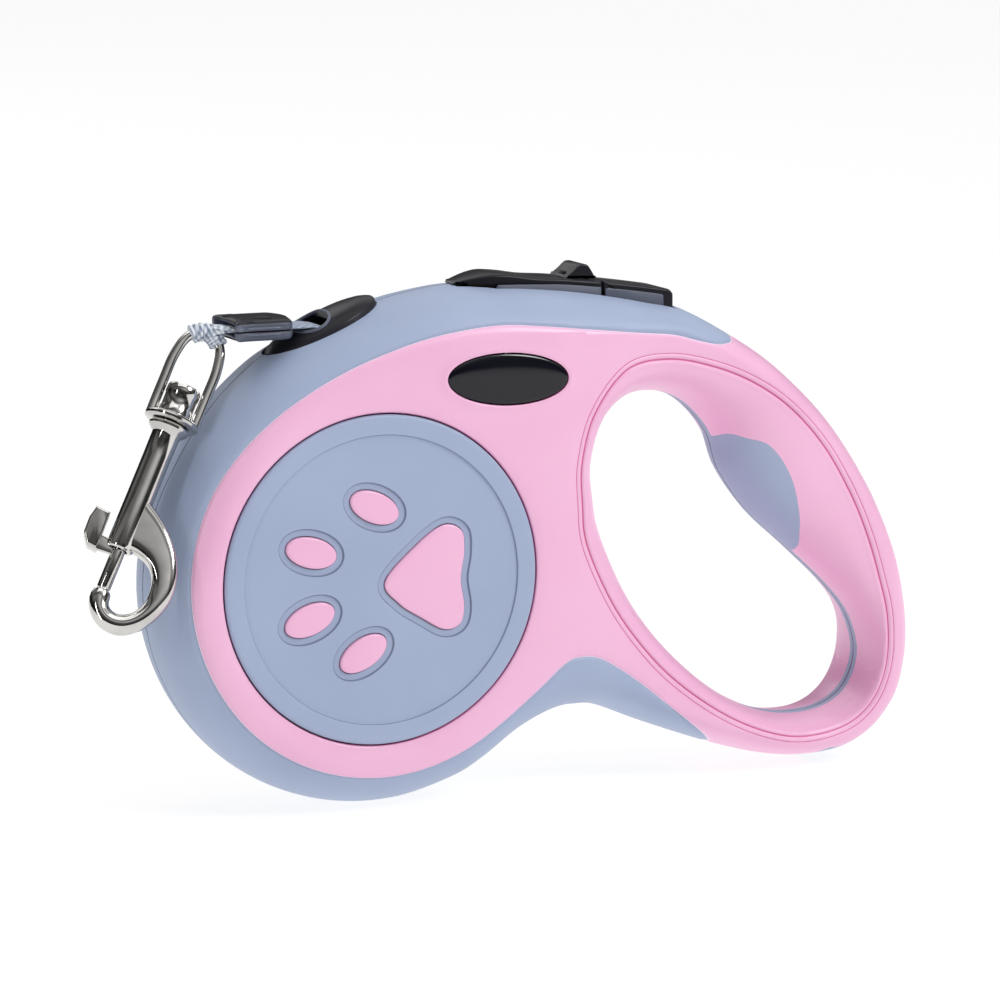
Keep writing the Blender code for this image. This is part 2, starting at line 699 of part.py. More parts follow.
def stopper_half(name, low, high, finish_spec):
    rings = [[Vector((x, y, z)) for x, y in stopper_outline()] for z in (low, high)]
    piece = finish(name, loft(bmesh.new(), rings), finish_spec, pivot=EYE_TOP)
    bevel(piece, 0.4)
    half = TAPE_WIDTH / 2 + 0.6
    hollow = box((STOPPER_LEFT - 4, -half, 53.3), (STOPPER_RIGHT + 4, half, 54.7))
    return boolean(piece, helper(name + "_channel", hollow))


# ---------------------------------------------------------------- bolt snap


def snap_axes():
    return axes_of(HOOK_LOW - EYE_TOP, HOOK_FACING)


def snap_point(across, along, out=0.0):
    """A point of the bolt snap from its distances across and along its axis, and towards its face."""
    down, side, face = snap_axes()
    return EYE_TOP + side * across + down * along + face * out


def open_curve(points, per_span):
    """An open Catmull-Rom curve through the points."""
    padded = [2 * points[0] - points[1]] + points + [2 * points[-1] - points[-2]]
    curve = []
    for i in range(len(points) - 1):
        p0, p1, p2, p3 = padded[i: i + 4]
        for step in range(per_span):
            t = step / per_span
            curve.append(0.5 * (2 * p1 + (p2 - p0) * t + (2 * p0 - 5 * p1 + 4 * p2 - p3) * t**2
                                + (3 * p1 - p0 - 3 * p2 + p3) * t**3))
    return curve + [points[-1]]


EYE_HALF = [(4.9, 21.2), (4.9, 14.0), (4.8, 7.0), (3.6, 2.2)]


def swivel_eye():
    down, side, face = snap_axes()
    right = [snap_point(s, t) for s, t in EYE_HALF]
    left = [snap_point(-s, t) for s, t in reversed(EYE_HALF)]
    path = open_curve(right + [snap_point(0, 0)] + left, 3)
    piece = finish("swivel_eye", sweep(path, 1.15, 8, up=face), CHROME, pivot=EYE_TOP)
    base = revolve([(2.5, 20.7), (5.9, 20.7), (5.9, 22.0), (2.5, 22.0)], 24, EYE_TOP, down, face)
    return boolean(piece, helper("eye_base", base), "UNION")


def swivel_rivet():
    down, _, face = snap_axes()
    profile = [(0, 13.4), (3.2, 13.4), (3.5, 14.0), (3.5, 20.4), (2.0, 20.4), (2.0, 25.0), (0, 25.0)]
    return finish("swivel_rivet", revolve(profile, 12, EYE_TOP, down, face), CHROME, pivot=EYE_TOP)


CRESCENT_OUTER = [
    (1.0, 39.0), (5.0, 41.4), (8.6, 44.6), (11.6, 48.2), (13.6, 52.6), (14.3, 57.4), (13.2, 62.0),
    (10.6, 66.3), (6.8, 68.9), (2.6, 68.8), (-0.6, 66.6), (-2.0, 63.6), (-1.7, 61.7),
]
CRESCENT_INNER = [
    (1.7, 61.7), (2.4, 63.6), (5.0, 64.7), (7.8, 63.1), (9.3, 59.6), (8.9, 55.6), (6.9, 52.6), (4.2, 51.4),
    (1.0, 51.0),
]


def hook_body():
    down, side, face = snap_axes()
    outline = open_curve([Vector(p) for p in CRESCENT_OUTER], 2)
    outline += open_curve([Vector(p) for p in CRESCENT_INNER], 2)
    rings = []
    for out, scale in ((-2.4, 1), (2.4, 1)):
        rings.append([snap_point(p[0], p[1], out * scale) for p in outline])
    piece = finish("hook_body", loft(bmesh.new(), rings), CHROME, pivot=EYE_TOP)
    bevel(piece, 0.9, segments=2, angle=50)
    shank = revolve([(0, 22.3), (3.6, 22.3), (4.4, 22.9), (4.2, 23.8), (3.1, 24.4), (3.1, 51.3), (0, 51.3)],
                    20, EYE_TOP, down, face)
    boolean(piece, helper("shank", shank), "UNION")
    for label, radius, top, bottom in (("rivet", 2.3, 20, 25.3), ("bolt", 1.85, 36.5, 54)):
        bore = revolve([(0, top), (radius, top), (radius, bottom), (0, bottom)], 16, EYE_TOP, down, face)
        boolean(piece, helper(label + "_bore", bore))
    corners = [(0, 41.4), (0, 56), (-6, 56), (-6, 41.4)]
    slot = [[snap_point(s, t, out) for s, t in corners] for out in (-1.1, 1.1)]
    return boolean(piece, helper("tab_slot", loft(bmesh.new(), slot)))


def bolt_plunger():
    down, side, face = snap_axes()
    profile = [(0, 46.0), (1.3, 46.0), (1.55, 46.4), (1.55, 60.6), (1.1, 61.3), (0, 61.3)]
    piece = finish("bolt_plunger", revolve(profile, 12, EYE_TOP, down, face), CHROME, pivot=EYE_TOP)
    stem = [[snap_point(s, t, out) for s, t in ((0, 50.2), (0, 53.6), (-5.5, 53.6), (-5.5, 50.2))]
            for out in (-0.8, 0.8)]
    boolean(piece, helper("tab_stem", loft(bmesh.new(), stem)), "UNION")
    pad = [(-4.4, 45.0), (-4.4, 53.8), (-6.9, 53.3), (-8.3, 51.0), (-8.1, 46.0), (-7.6, 44.8)]
    rings = [[snap_point(s, t, out) for s, t in pad] for out in (-2.6, 2.6)]
    return boolean(piece, helper("tab_pad", loft(bmesh.new(), rings)), "UNION")


def coil(start, end, radius, wire, turns, per_turn, facing):
    """A helical spring between two points."""
    along, across, face = axes_of(end - start, facing)
    path = []
    for i in range(turns * per_turn + 1):
        angle = 2 * math.pi * i / per_turn
        path.append(start.lerp(end, i / (turns * per_turn))
                    + (across * math.cos(angle) + face * math.sin(angle)) * radius)
    return sweep(path, wire, 4, up=along)


def bolt_spring():
    down, side, face = snap_axes()
    return finish("bolt_spring", coil(snap_point(0, 37.2), snap_point(0, 45.4), 1.2, 0.28, 6, 8, face), STEEL,
                  pivot=EYE_TOP)


def tape_loop():
    """The pleated end of the tape: a sleeve round the top of the eye, with a neck into the stopper block."""
    right = [snap_point(s, t) for s, t in EYE_HALF]
    left = [snap_point(-s, t) for s, t in reversed(EYE_HALF)]
    path = open_curve(right + [snap_point(0, 0)] + left, 6)
    middle = len(path) // 2
    sleeve_path = path[middle - 6: middle + 7]
    face = snap_axes()[2]
    piece = finish("tape_loop", sweep(sleeve_path, 2.15, 10, up=face), TAPE, pivot=EYE_TOP)
    neck = [Vector((x, 0, z)) for x, z in ((-27.6, 54.0), (-29.8, 54.0), (-32.4, 53.9))]
    turns = [math.radians(angle) for angle in range(0, 360, 45)]
    rings = []
    for point, wide, high in zip(neck, (4.6, 4.2, 2.4), (0.45, 0.5, 1.4)):
        rings.append([point + Vector((0, math.cos(t) * wide, math.sin(t) * high)) for t in turns])
    boolean(piece, helper("loop_neck", loft(bmesh.new(), rings)), "UNION")
    return boolean(piece, helper("loop_bore", sweep(path, 1.45, 8, up=face)))


# ---------------------------------------------------------------- brake


def button_base():
    outline = [
        (20.3, 61.75), (23.4, 62.5), (27.7, 63.2), (31.5, 63.6), (36.0, 63.3), (41.0, 62.2), (47.5, 61.8),
        (56.7, 60.9), (56.7, 54.5), (33.0, 56.4), (23.3, 57.0), (23.3, 61.65),
    ]
    piece = finish("button_base", prism(outline, -BUTTON_HALF_WIDTH, BUTTON_HALF_WIDTH), BLACK)
    bevel(piece, 0.5)
    for wedge in nose_sides(0.0):
        boolean(piece, wedge, solver="MANIFOLD")
    return boolean(piece, helper("slider_slot", box((48.8, -2.0, 50), (55.6, 2.0, 70))))


def brake_button():
    outline = [
        (57.2, 60.85), (62.0, 60.2), (68.0, 59.3), (72.4, 58.5), (74.0, 57.4), (74.0, 51.4), (57.2, 53.0),
    ]
    blank = prism(outline, -BUTTON_HALF_WIDTH, BUTTON_HALF_WIDTH)
    return bevel(finish("brake_button", blank, DARK_GREY, pivot=(65.6, 0, 57)), 0.5)


def lock_slider():
    outline = [
        (48.0, 62.15), (50.0, 62.9), (51.4, 64.2), (53.0, 64.6), (55.0, 64.3), (56.4, 63.2), (57.6, 62.15),
    ]
    piece = finish("lock_slider", prism(outline, -4.2, 4.2), BLACK, pivot=(52.8, 0, 62.15))
    return boolean(piece, helper("slider_stem", box((49.2, -1.6, 56.5), (51.3, 1.6, 63.0))), "UNION")


def brake_pawl():
    """A bar that slides towards the spool axis. Its nose drops between two ratchet teeth."""
    t = math.radians(PAWL_ANGLE)
    out, across = Vector((math.cos(t), math.sin(t))), Vector((-math.sin(t), math.cos(t)))
    corners = [(43.4, -0.5), (46.4, -2.2), (72.0, -2.2), (74.5, 0.5), (73.2, 2.2), (46.4, 2.2), (43.4, 0.5)]
    outline = [out * r + across * s for r, s in corners]
    middle = out * 59
    return finish("brake_pawl", prism(outline, -7.5, 7.5), BLACK, pivot=(middle[0], 0, middle[1]))


def brake_return_spring():
    bottom = Vector((70.6, 0, 44.9))
    top = bottom - PRESS_DIRECTION * 6.0
    return finish("brake_return_spring", coil(bottom, top, 2.2, 0.35, 4, 8, (0, 1, 0)), STEEL)


# ---------------------------------------------------------------- assembly

for existing in list(bpy.data.objects):
    bpy.data.objects.remove(existing)

ROOT = bpy.data.objects.new("drawing_frame", None)
bpy.context.scene.collection.objects.link(ROOT)
ROOT.location = -HAND_GRIP * MM

INNER = {side: helper(f"under_skin_{side}", half_casing(side, SKIN, -1.0)) for side in (-1, 1)}
UNDER = {side: helper(f"under_gap_{side}", half_casing(side, SKIN + GAP, -1.0)) for side in (-1, 1)}
HARD = hard_area()
HARD_AREA = helper("hard_area", prism(HARD, -30, 30))
HARD_AREA_SMALLER = helper("hard_area_smaller", prism(grown(HARD, -GAP), -30, 30))
OPENINGS = openings()
GRIP, GRIP_SPACE = grip_region("", 0.0), grip_region("_space", GAP)
PALM, PALM_SPACE = palm_region("", 0.0), palm_region("_space", GAP)

for label, side in (("front", -1), ("rear", 1)):
    spaces = [
        skin_space(f"rim_space_{label}", side, HARD_AREA_SMALLER, "DIFFERENCE"),
        skin_space(f"grip_space_{label}", side, GRIP_SPACE, "INTERSECT"),
        skin_space(f"palm_space_{label}", side, PALM_SPACE, "INTERSECT"),
    ]
    shell(f"{label}_shell", side, spaces)
    band = skin_piece(f"{label}_rim_band", side, HARD_AREA, "DIFFERENCE")
    for opening in OPENINGS:
        boolean(band, opening)
    skin_piece(f"{label}_finger_grip", side, GRIP, "INTERSECT")
    skin_piece(f"{label}_palm_pad", side, PALM, "INTERSECT")
    disc(f"{label}_disc", side)
    paw_inlay(f"{label}_paw_inlay", side)
    badge(f"{label}_badge", side)

spool()
spool_lid()
tape_winding()
power_spring()
axle()
axle_bush()
screw("axle_screw", (0, 13.45, 0), 3.3, 0.8, 10.0)
for index, (x, z) in enumerate(SCREW_POINTS):
    screw(f"housing_screw_{index + 1}", (x, 9.3, z), 2.6, 2.0, 18.0)

nozzle()
tape_run()
MIDDLE = (STOPPER_BOTTOM + STOPPER_TOP) / 2
stopper_half("stopper_upper", MIDDLE + SEAM, STOPPER_TOP, BLACK)
stopper_half("stopper_lower", STOPPER_BOTTOM, MIDDLE - SEAM, DARK_GREY)
tape_loop()
swivel_eye()
swivel_rivet()
hook_body()
bolt_spring()
bolt_plunger()

button_base()
brake_button()
lock_slider()
brake_pawl()
brake_return_spring()
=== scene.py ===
import math

import bmesh
import bpy
import numpy as np
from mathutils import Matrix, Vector, kdtree
from mathutils.geometry import delaunay_2d_cdt


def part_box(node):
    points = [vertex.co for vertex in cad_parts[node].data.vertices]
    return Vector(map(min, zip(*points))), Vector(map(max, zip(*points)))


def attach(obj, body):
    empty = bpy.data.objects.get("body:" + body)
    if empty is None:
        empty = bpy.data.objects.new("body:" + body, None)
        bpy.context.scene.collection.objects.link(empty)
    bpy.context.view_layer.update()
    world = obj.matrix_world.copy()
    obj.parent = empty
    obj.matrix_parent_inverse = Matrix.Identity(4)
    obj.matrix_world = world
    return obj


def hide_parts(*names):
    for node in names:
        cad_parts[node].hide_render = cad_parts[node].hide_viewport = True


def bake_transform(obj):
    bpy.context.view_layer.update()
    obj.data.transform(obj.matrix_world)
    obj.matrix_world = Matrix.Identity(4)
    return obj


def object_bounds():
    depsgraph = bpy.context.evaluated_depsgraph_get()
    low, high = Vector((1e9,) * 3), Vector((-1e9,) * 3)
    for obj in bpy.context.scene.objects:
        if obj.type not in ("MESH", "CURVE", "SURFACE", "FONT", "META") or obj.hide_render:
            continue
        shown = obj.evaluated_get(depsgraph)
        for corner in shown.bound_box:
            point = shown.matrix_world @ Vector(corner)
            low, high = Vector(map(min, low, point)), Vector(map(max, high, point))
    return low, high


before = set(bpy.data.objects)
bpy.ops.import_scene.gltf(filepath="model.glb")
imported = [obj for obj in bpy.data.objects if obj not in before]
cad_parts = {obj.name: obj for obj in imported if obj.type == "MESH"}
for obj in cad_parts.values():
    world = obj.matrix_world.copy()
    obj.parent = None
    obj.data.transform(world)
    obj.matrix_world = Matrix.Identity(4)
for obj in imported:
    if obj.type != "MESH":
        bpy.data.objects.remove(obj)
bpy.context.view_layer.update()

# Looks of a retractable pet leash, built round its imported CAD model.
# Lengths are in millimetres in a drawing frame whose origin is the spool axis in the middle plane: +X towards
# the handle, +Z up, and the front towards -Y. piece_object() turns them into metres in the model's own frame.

MM = 0.001
DISC_LOW, DISC_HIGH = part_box("front_disc")
ORIGIN = Vector(((DISC_LOW.x + DISC_HIGH.x) / 2, 0.0, (DISC_LOW.z + DISC_HIGH.z) / 2))

# Casing
DRUM_CENTRE = (1.4, -1.5)
DRUM_RADIUS = 50.0
DRUM_HALF_DEPTH = 17.0
HANDLE_HALF_DEPTH = 14.0
DRUM_ROUNDING = 11.0
HANDLE_ROUNDING = 5.6
HANDLE_THINNING = 1.6
TAPER = (38.0, 78.0)
THINNING = (95.0, 120.0)
SEAM = 0.15
SHELL_SKIN = 2.6
RUBBER_SKIN = 1.3
OUTLINE_AFTER_DRUM = [
    (27.8, -43.9), (36.5, -38.0), (44.6, -34.5), (50.6, -33.8), (56.7, -34.6), (69.0, -39.6), (84.8, -45.4),
    (96.6, -48.7), (106.0, -49.9), (114.8, -49.4), (121.2, -47.0), (126.5, -42.7), (131.0, -35.5),
    (133.0, -24.5), (132.0, -12.5), (128.9, -0.9), (122.1, 13.5), (112.0, 28.0), (99.2, 40.3), (87.5, 48.2),
    (76.1, 54.1), (67.0, 56.4), (57.5, 58.4), (46.5, 60.1), (34.0, 61.2), (22.4, 61.3), (13.6, 60.2),
    (6.0, 58.6), (-5.6, 55.3), (-15.0, 51.1), (-23.6, 45.9), (-33.0, 37.0),
]
HOLE_OUTLINE = [
    (53.2, 22.0), (53.6, 15.0), (55.3, 7.4), (59.9, -3.6), (65.2, -12.8), (73.3, -22.6), (83.8, -31.9),
    (94.2, -37.8), (103.6, -40.3), (113.3, -39.6), (119.9, -35.3), (122.6, -27.6), (120.4, -19.0),
    (114.6, -11.5), (105.0, -2.5), (95.0, 6.6), (87.9, 16.4), (85.0, 24.6), (80.4, 30.6), (75.0, 34.3),
    (68.3, 35.6), (61.8, 34.4), (56.2, 30.2),
]
HOLE_LIP = [
    (47.4, 22.5), (47.5, 13.5), (48.5, 4.8), (53.6, -6.6), (59.8, -16.0), (69.3, -26.4), (81.5, -35.6),
    (93.3, -41.4), (104.0, -43.6), (114.8, -42.0), (121.5, -36.8), (124.9, -28.4), (125.0, -17.8),
    (122.6, -8.0), (119.5, 1.5), (115.2, 11.0), (108.3, 22.0), (99.6, 31.2), (90.2, 37.6), (80.0, 41.8),
    (69.0, 44.0), (58.6, 42.3), (50.6, 33.2),
]
# Edge between the hard casing and the soft rim. RIM_EDGE is (angle in degrees, radius) round the spool axis.
RIM_EDGE_UPPER = [
    (94.0, 52.5), (88.5, 47.6), (83.0, 46.7), (77.6, 47.4), (70.5, 49.3), (62.0, 50.3), (50.0, 51.8),
    (38.0, 53.2), (28.0, 53.9),
]
RIM_EDGE = [
    (72, 55.6), (80, 52.1), (88, 49.2), (96, 47.1), (104, 45.5), (112, 44.4), (122, 43.6), (135, 43.1),
    (150, 43.0), (165, 43.0), (180, 43.0), (195, 43.0), (210, 43.1), (225, 43.3), (240, 43.5), (255, 43.65),
    (270, 43.8), (284, 43.9), (297, 44.0), (310, 44.4), (321, 45.4),
]
RIM_EDGE_LOWER = [
    (43.1, -21.9), (47.6, -20.6), (53.0, -21.8), (62.5, -28.0), (73.0, -36.5), (79.0, -41.2), (86.0, -46.6),
    (90.0, -50.2),
]
FINGER_PATCH = [
    (82.6, 20.5), (85.2, 24.2), (87.0, 25.5), (90.4, 24.6), (94.2, 23.5), (97.3, 20.5), (99.7, 16.9),
    (101.6, 12.8), (103.7, 6.1), (104.6, 2.2), (105.6, -1.6), (105.0, -4.5), (99.0, -3.0), (90.0, 6.0),
]
SCREW_POINTS = [(43.5, 27.0), (51.5, -12.5), (93.5, 28.5), (116.2, 0.0), (84.0, -40.3)]

# Round covers and paw
DISC_RADIUS = 36.0
POCKET_RADIUS = 36.3
DISC_FACE = 17.3
DISC_STEP = 31.6
STEP_DEPTH = 0.5
DISC_ROUNDING = 0.8
TOE_PADS = [(-1.6, 15.9, 24), (-16.2, 7.0, 15), (-16.6, -7.6, -20), (-4.3, -15.8, -30)]
TOE_SIZE = (5.9, 3.3)
PAD_GAP = 0.22
PAD_RECESS = 1.65
PAW_PLATE_RADIUS = 27.0
HEEL_PAD = [
    (0.8, -0.6), (7.5, 6.5), (14.2, 11.0), (18.6, 9.6), (19.2, 4.8), (18.4, -1.0), (19.2, -7.0),
    (18.2, -10.9), (14.4, -11.8), (9.0, -8.8), (4.1, -5.5),
]
BADGE_CENTRE = (29.6, 42.1)
BADGE_SIZE = (14.0, 5.5)
BADGE_TURN = 2.4

# Tape outlet, stopper block and bolt snap
MOUTH = Vector((-8.2, 0.0, 53.6))
NOZZLE_CENTRE = Vector((-8.2, 0.0, 54.2))
NOZZLE_SLOPE = math.radians(26.0)
NOZZLE_ALONG = Vector((math.cos(NOZZLE_SLOPE), 0.0, math.sin(NOZZLE_SLOPE)))
NOZZLE_NORMAL = Vector((-math.sin(NOZZLE_SLOPE), 0.0, math.cos(NOZZLE_SLOPE)))
NOZZLE_SIZE = (13.8, 8.4)
WINDING_RADIUS = 38.9
TAPE_WIDTH = 10.0
TAPE_HEIGHT = 54.0
STOPPER_LEFT = -29.4
STOPPER_RIGHT = -15.2
STOPPER_BOTTOM = 51.9
STOPPER_TOP = 56.2
STOPPER_HALF_WIDTH = 7.9
EYE_TOP = Vector((-33.2, 0.0, 53.4))
HOOK_LOW = Vector((-57.6, -12.1, 10.6))
HOOK_FACING = Vector((-0.33, -0.90, 0.28))
SNAP_SIDES = 48
BUTTON_HALF_WIDTH = 6.0
NOSE_START = 31.5


# ---------------- curves


def unit(rows):
    return rows / np.linalg.norm(rows, axis=-1, keepdims=True)


def smooth(t):
    """0 below 0, 1 above 1, and an S-shaped change between them."""
    t = np.clip(t, 0, 1)
    return t * t * (3 - 2 * t)


def catmull_rom(corners, per_span):
    """Points along each span of a Catmull-Rom curve, from rows of four control points."""
    p0, p1, p2, p3 = (row[:, None, :] for row in corners)
    t = (np.arange(per_span) / per_span)[None, :, None]
    curve = 0.5 * (2 * p1 + (p2 - p0) * t + (2 * p0 - 5 * p1 + 4 * p2 - p3) * t**2
                   + (3 * p1 - p0 - 3 * p2 + p3) * t**3)
    return curve.reshape(-1, curve.shape[-1])


def closed_curve(points, per_span):
    p = np.array(points, float)
    return catmull_rom([np.roll(p, 1 - k, axis=0) for k in range(4)], per_span)


def open_curve(points, per_span):
    p = np.array(points, float)
    p = np.vstack([2 * p[0] - p[1], p, 2 * p[-1] - p[-2]])
    return np.vstack([catmull_rom([p[k:len(p) - 3 + k] for k in range(4)], per_span), p[-2]])


def lengths_along(curve):
    return np.concatenate([[0], np.cumsum(np.linalg.norm(np.diff(curve, axis=0), axis=1))])


def at_lengths(curve, at):
    """Points of a curve at lengths from its start."""
    return np.stack([np.interp(at, lengths_along(curve), column) for column in curve.T], axis=1)


def spaced(curve, step, closed=True):
    """Points an even step apart along a curve."""
    if closed:
        curve = np.vstack([curve, curve[:1]])
    total = lengths_along(curve)[-1]
    count = max(int(round(total / step)), 3)
    return at_lengths(curve, np.linspace(0, total, count, endpoint=not closed))


def left_of(curve, closed=True):
    """Unit vectors to the left of a curve in the plane."""
    ahead = np.roll(curve, -1, 0) - np.roll(curve, 1, 0) if closed else np.gradient(curve, axis=0)
    return unit(np.stack([-ahead[:, 1], ahead[:, 0]], axis=1))


def circle(centre, radius, count, start=0.0, end=360.0):
    full = abs(end - start) >= 360.0
    t = np.radians(np.linspace(start, end, count, endpoint=not full))
    return np.stack([centre[0] + radius * np.cos(t), centre[1] + radius * np.sin(t)], axis=1)


def ellipse(centre, size, turn, count):
    """Points round an ellipse, turned clockwise by degrees."""
    t = np.linspace(0, 2 * np.pi, count, endpoint=False)
    x, z = size[0] * np.cos(t), size[1] * np.sin(t)
    c, s = math.cos(math.radians(-turn)), math.sin(math.radians(-turn))
    return np.stack([centre[0] + x * c - z * s, centre[1] + x * s + z * c], axis=1)


def superellipse(sides, power):
    """Points round an oval of size 1. Power 2 is round, more is squarer."""
    turns = [2 * math.pi * k / sides for k in range(sides)]
    return [[math.copysign(abs(v) ** (2 / power), v) for v in (math.cos(t), math.sin(t))] for t in turns]


def distance_to(curve, points, closed=True):
    """How far each point is from a curve."""
    tree = kdtree.KDTree(len(curve))
    for index, (x, z) in enumerate(curve):
        tree.insert((x, z, 0), index)
    tree.balance()
    nearest = np.array([tree.find((x, z, 0))[1] for x, z in points])
    here = curve[nearest]
    best = np.linalg.norm(points - here, axis=1)
    for step in (-1, 1):
        other = (nearest + step) % len(curve) if closed else np.clip(nearest + step, 0, len(curve) - 1)
        way = curve[other] - here
        length = np.maximum((way**2).sum(1), 1e-12)
        t = np.clip(((points - here) * way).sum(1) / length, 0, 1)
        best = np.minimum(best, np.linalg.norm(points - here - way * t[:, None], axis=1))
    return best


def inside(points, loop):
    """Whether each point is inside a closed loop."""
    found = np.zeros(len(points), bool)
    for a, b in zip(loop, np.roll(loop, 1, axis=0)):
        crosses = (a[1] > points[:, 1]) != (b[1] > points[:, 1])
        if crosses.any():
            at = (b[0] - a[0]) * (points[:, 1] - a[1]) / (b[1] - a[1] or 1e-12) + a[0]
            found ^= crosses & (points[:, 0] < at)
    return found


# ---------------- meshes


def in_model(place):
    """A place of the drawing frame in the model's frame."""
    return Vector(place) * MM + ORIGIN


def linked(name, data):
    """A new object in the scene."""
    made = bpy.data.objects.new(name, data)
    bpy.context.scene.collection.objects.link(made)
    return made


def piece_object(name, bm, materials, crease=40):
    """A bmesh in the drawing frame as an object in the model's frame."""
    bmesh.ops.recalc_face_normals(bm, faces=bm.faces)
    for vertex in bm.verts:
        vertex.co = in_model(vertex.co)
    mesh = bpy.data.meshes.new(name)
    bm.to_mesh(mesh)
    bm.free()
    for material in materials:
        mesh.materials.append(material)
    mesh.shade_smooth()
    mesh.set_sharp_from_angle(angle=math.radians(crease))
    return linked(name, mesh)


def placed(piece, body, slot, *nodes):
    """The piece rides on a body and stands for the nodes, which it hides. slot is not used."""
    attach(piece, body)
    if nodes:
        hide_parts(*nodes)


def cut(piece, *cutters):
    """Takes the cutters out of the piece."""
    for cutter in cutters:
        modifier = piece.modifiers.new("cut", "BOOLEAN")
        modifier.object = cutter
        modifier.solver = "MANIFOLD"
    bpy.context.view_layer.update()
    done = piece.evaluated_get(bpy.context.evaluated_depsgraph_get())
    mesh = bpy.data.meshes.new_from_object(done)
    piece.modifiers.clear()
    piece.data = mesh
    mesh.set_sharp_from_angle(angle=math.radians(40))
    for cutter in cutters:
        bpy.data.objects.remove(cutter)


def cutter(bm):
    return piece_object("cutter", bm, [])


def loft(bm, rings, capped=True, closed=False, index=0):
    """Joins rings of equal length with quads."""
    loops = [[bm.verts.new(point) for point in ring] for ring in rings]
    spans = list(zip(loops, loops[1:]))
    if closed:
        spans.append((loops[-1], loops[0]))
    for lower, upper in spans:
        for i in range(len(lower)):
            j = (i + 1) % len(lower)
            bm.faces.new((lower[i], lower[j], upper[j], upper[i])).material_index = index
    if capped and not closed:
        bm.faces.new(loops[0]).material_index = index
        bm.faces.new(loops[-1]).material_index = index
    return bm


def slab(bm, outline, levels, index=0):
    """An outline in the XZ plane, stacked up along Y. levels has (how far the outline moves in, y)."""
    normals = left_of(outline)
    rings = []
    for move, y in levels:
        flat = outline + normals * move
        rings.append([Vector((x, y, z)) for x, z in flat])
    return loft(bm, rings, index=index)


def rounded_levels(half, radius):
    """Levels for slab() from -half to half with rounded edges."""
    turns = [math.pi / 2 * i / 4 for i in range(5)]
    ends = [(radius * (1 - math.sin(t)), half - radius * (1 - math.cos(t))) for t in turns]
    return [(move, -y) for move, y in ends] + [(move, y) for move, y in reversed(ends)]


def axes_of(axis, facing):
    """Unit vectors along an axis, across it, and square to both, as near to facing as they go."""
    along = Vector(axis).normalized()
    face = Vector(facing) - Vector(facing).dot(along) * along
    face.normalize()
    return along, face.cross(along), face


def revolve(bm, profile, steps, origin, axis, facing):
    """Turns an open profile of (radius, distance along the axis) round the axis. Its ends lie on the axis."""
    along, across, face = axes_of(axis, facing)
    ends = [bm.verts.new(origin + along * profile[k][1]) for k in (0, -1)]
    columns = []
    for step in range(steps):
        angle = 2 * math.pi * step / steps
        outward = across * math.cos(angle) + face * math.sin(angle)
        columns.append([bm.verts.new(origin + along * distance + outward * radius)
                        for radius, distance in profile[1:-1]])
    for here, there in zip(columns, columns[1:] + columns[:1]):
        bm.faces.new((ends[0], here[0], there[0]))
        bm.faces.new((ends[1], there[-1], here[-1]))
        for i in range(len(here) - 1):
            bm.faces.new((here[i], here[i + 1], there[i + 1], there[i]))
    return bm


def sweep(bm, path, radius, sides, up, power=2.0, flat=1.0, closed=False):
    """A bar along a path, with a superellipse as its section. radius may depend on the share of the path."""
    count = len(path)
    section = superellipse(sides, power)
    rings = []
    for i, point in enumerate(path):
        before = path[(i - 1) % count] if closed or i > 0 else point
        after = path[(i + 1) % count] if closed or i < count - 1 else point
        _, across, face = axes_of(after - before, up)
        size = radius(i / (count - 1)) if callable(radius) else radius
        rings.append([point + (across * c * flat + face * s) * size for c, s in section])
    return loft(bm, rings, capped=not closed, closed=closed)


# ---------------- materials


class Tree:
    """Short forms for building a node tree."""

    def __init__(self, tree):
        self.tree = tree

    def add(self, kind, **values):
        node = self.tree.nodes.new(kind)
        for key, value in values.items():
            setattr(node, key, value)
        return node

    def link(self, output, target):
        self.tree.links.new(output, target)

    def ramp(self, value, *stops):
        """Maps a value through stops of (position, grey or colour)."""
        node = self.add("ShaderNodeValToRGB")
        elements = node.color_ramp.elements
        while len(elements) < len(stops):
            elements.new(0.5)
        for element, (position, colour) in zip(elements, stops):
            element.position = position
            element.color = (*colour, 1) if isinstance(colour, tuple) else (colour, colour, colour, 1)
        self.link(value, node.inputs["Fac"])
        return node.outputs["Color"]

    def mix(self, factor, first, second, mode="MIX"):
        node = self.add("ShaderNodeMix", data_type="RGBA", blend_type=mode)
        for value, key in ((factor, "Factor"), (first, "A"), (second, "B")):
            socket = next(s for s in node.inputs if s.name == key and s.enabled)
            if isinstance(value, (int, float)):
                socket.default_value = value
            elif isinstance(value, tuple):
                socket.default_value = (*value, 1)
            else:
                self.link(value, socket)
        return next(s for s in node.outputs if s.enabled)

    def scaled(self, value, low, high, start=0.0, end=1.0):
        node = self.add("ShaderNodeMapRange")
        for key, number in (("From Min", start), ("From Max", end), ("To Min", low), ("To Max", high)):
            node.inputs[key].default_value = number
        self.link(value, node.inputs["Value"])
        return node.outputs["Result"]


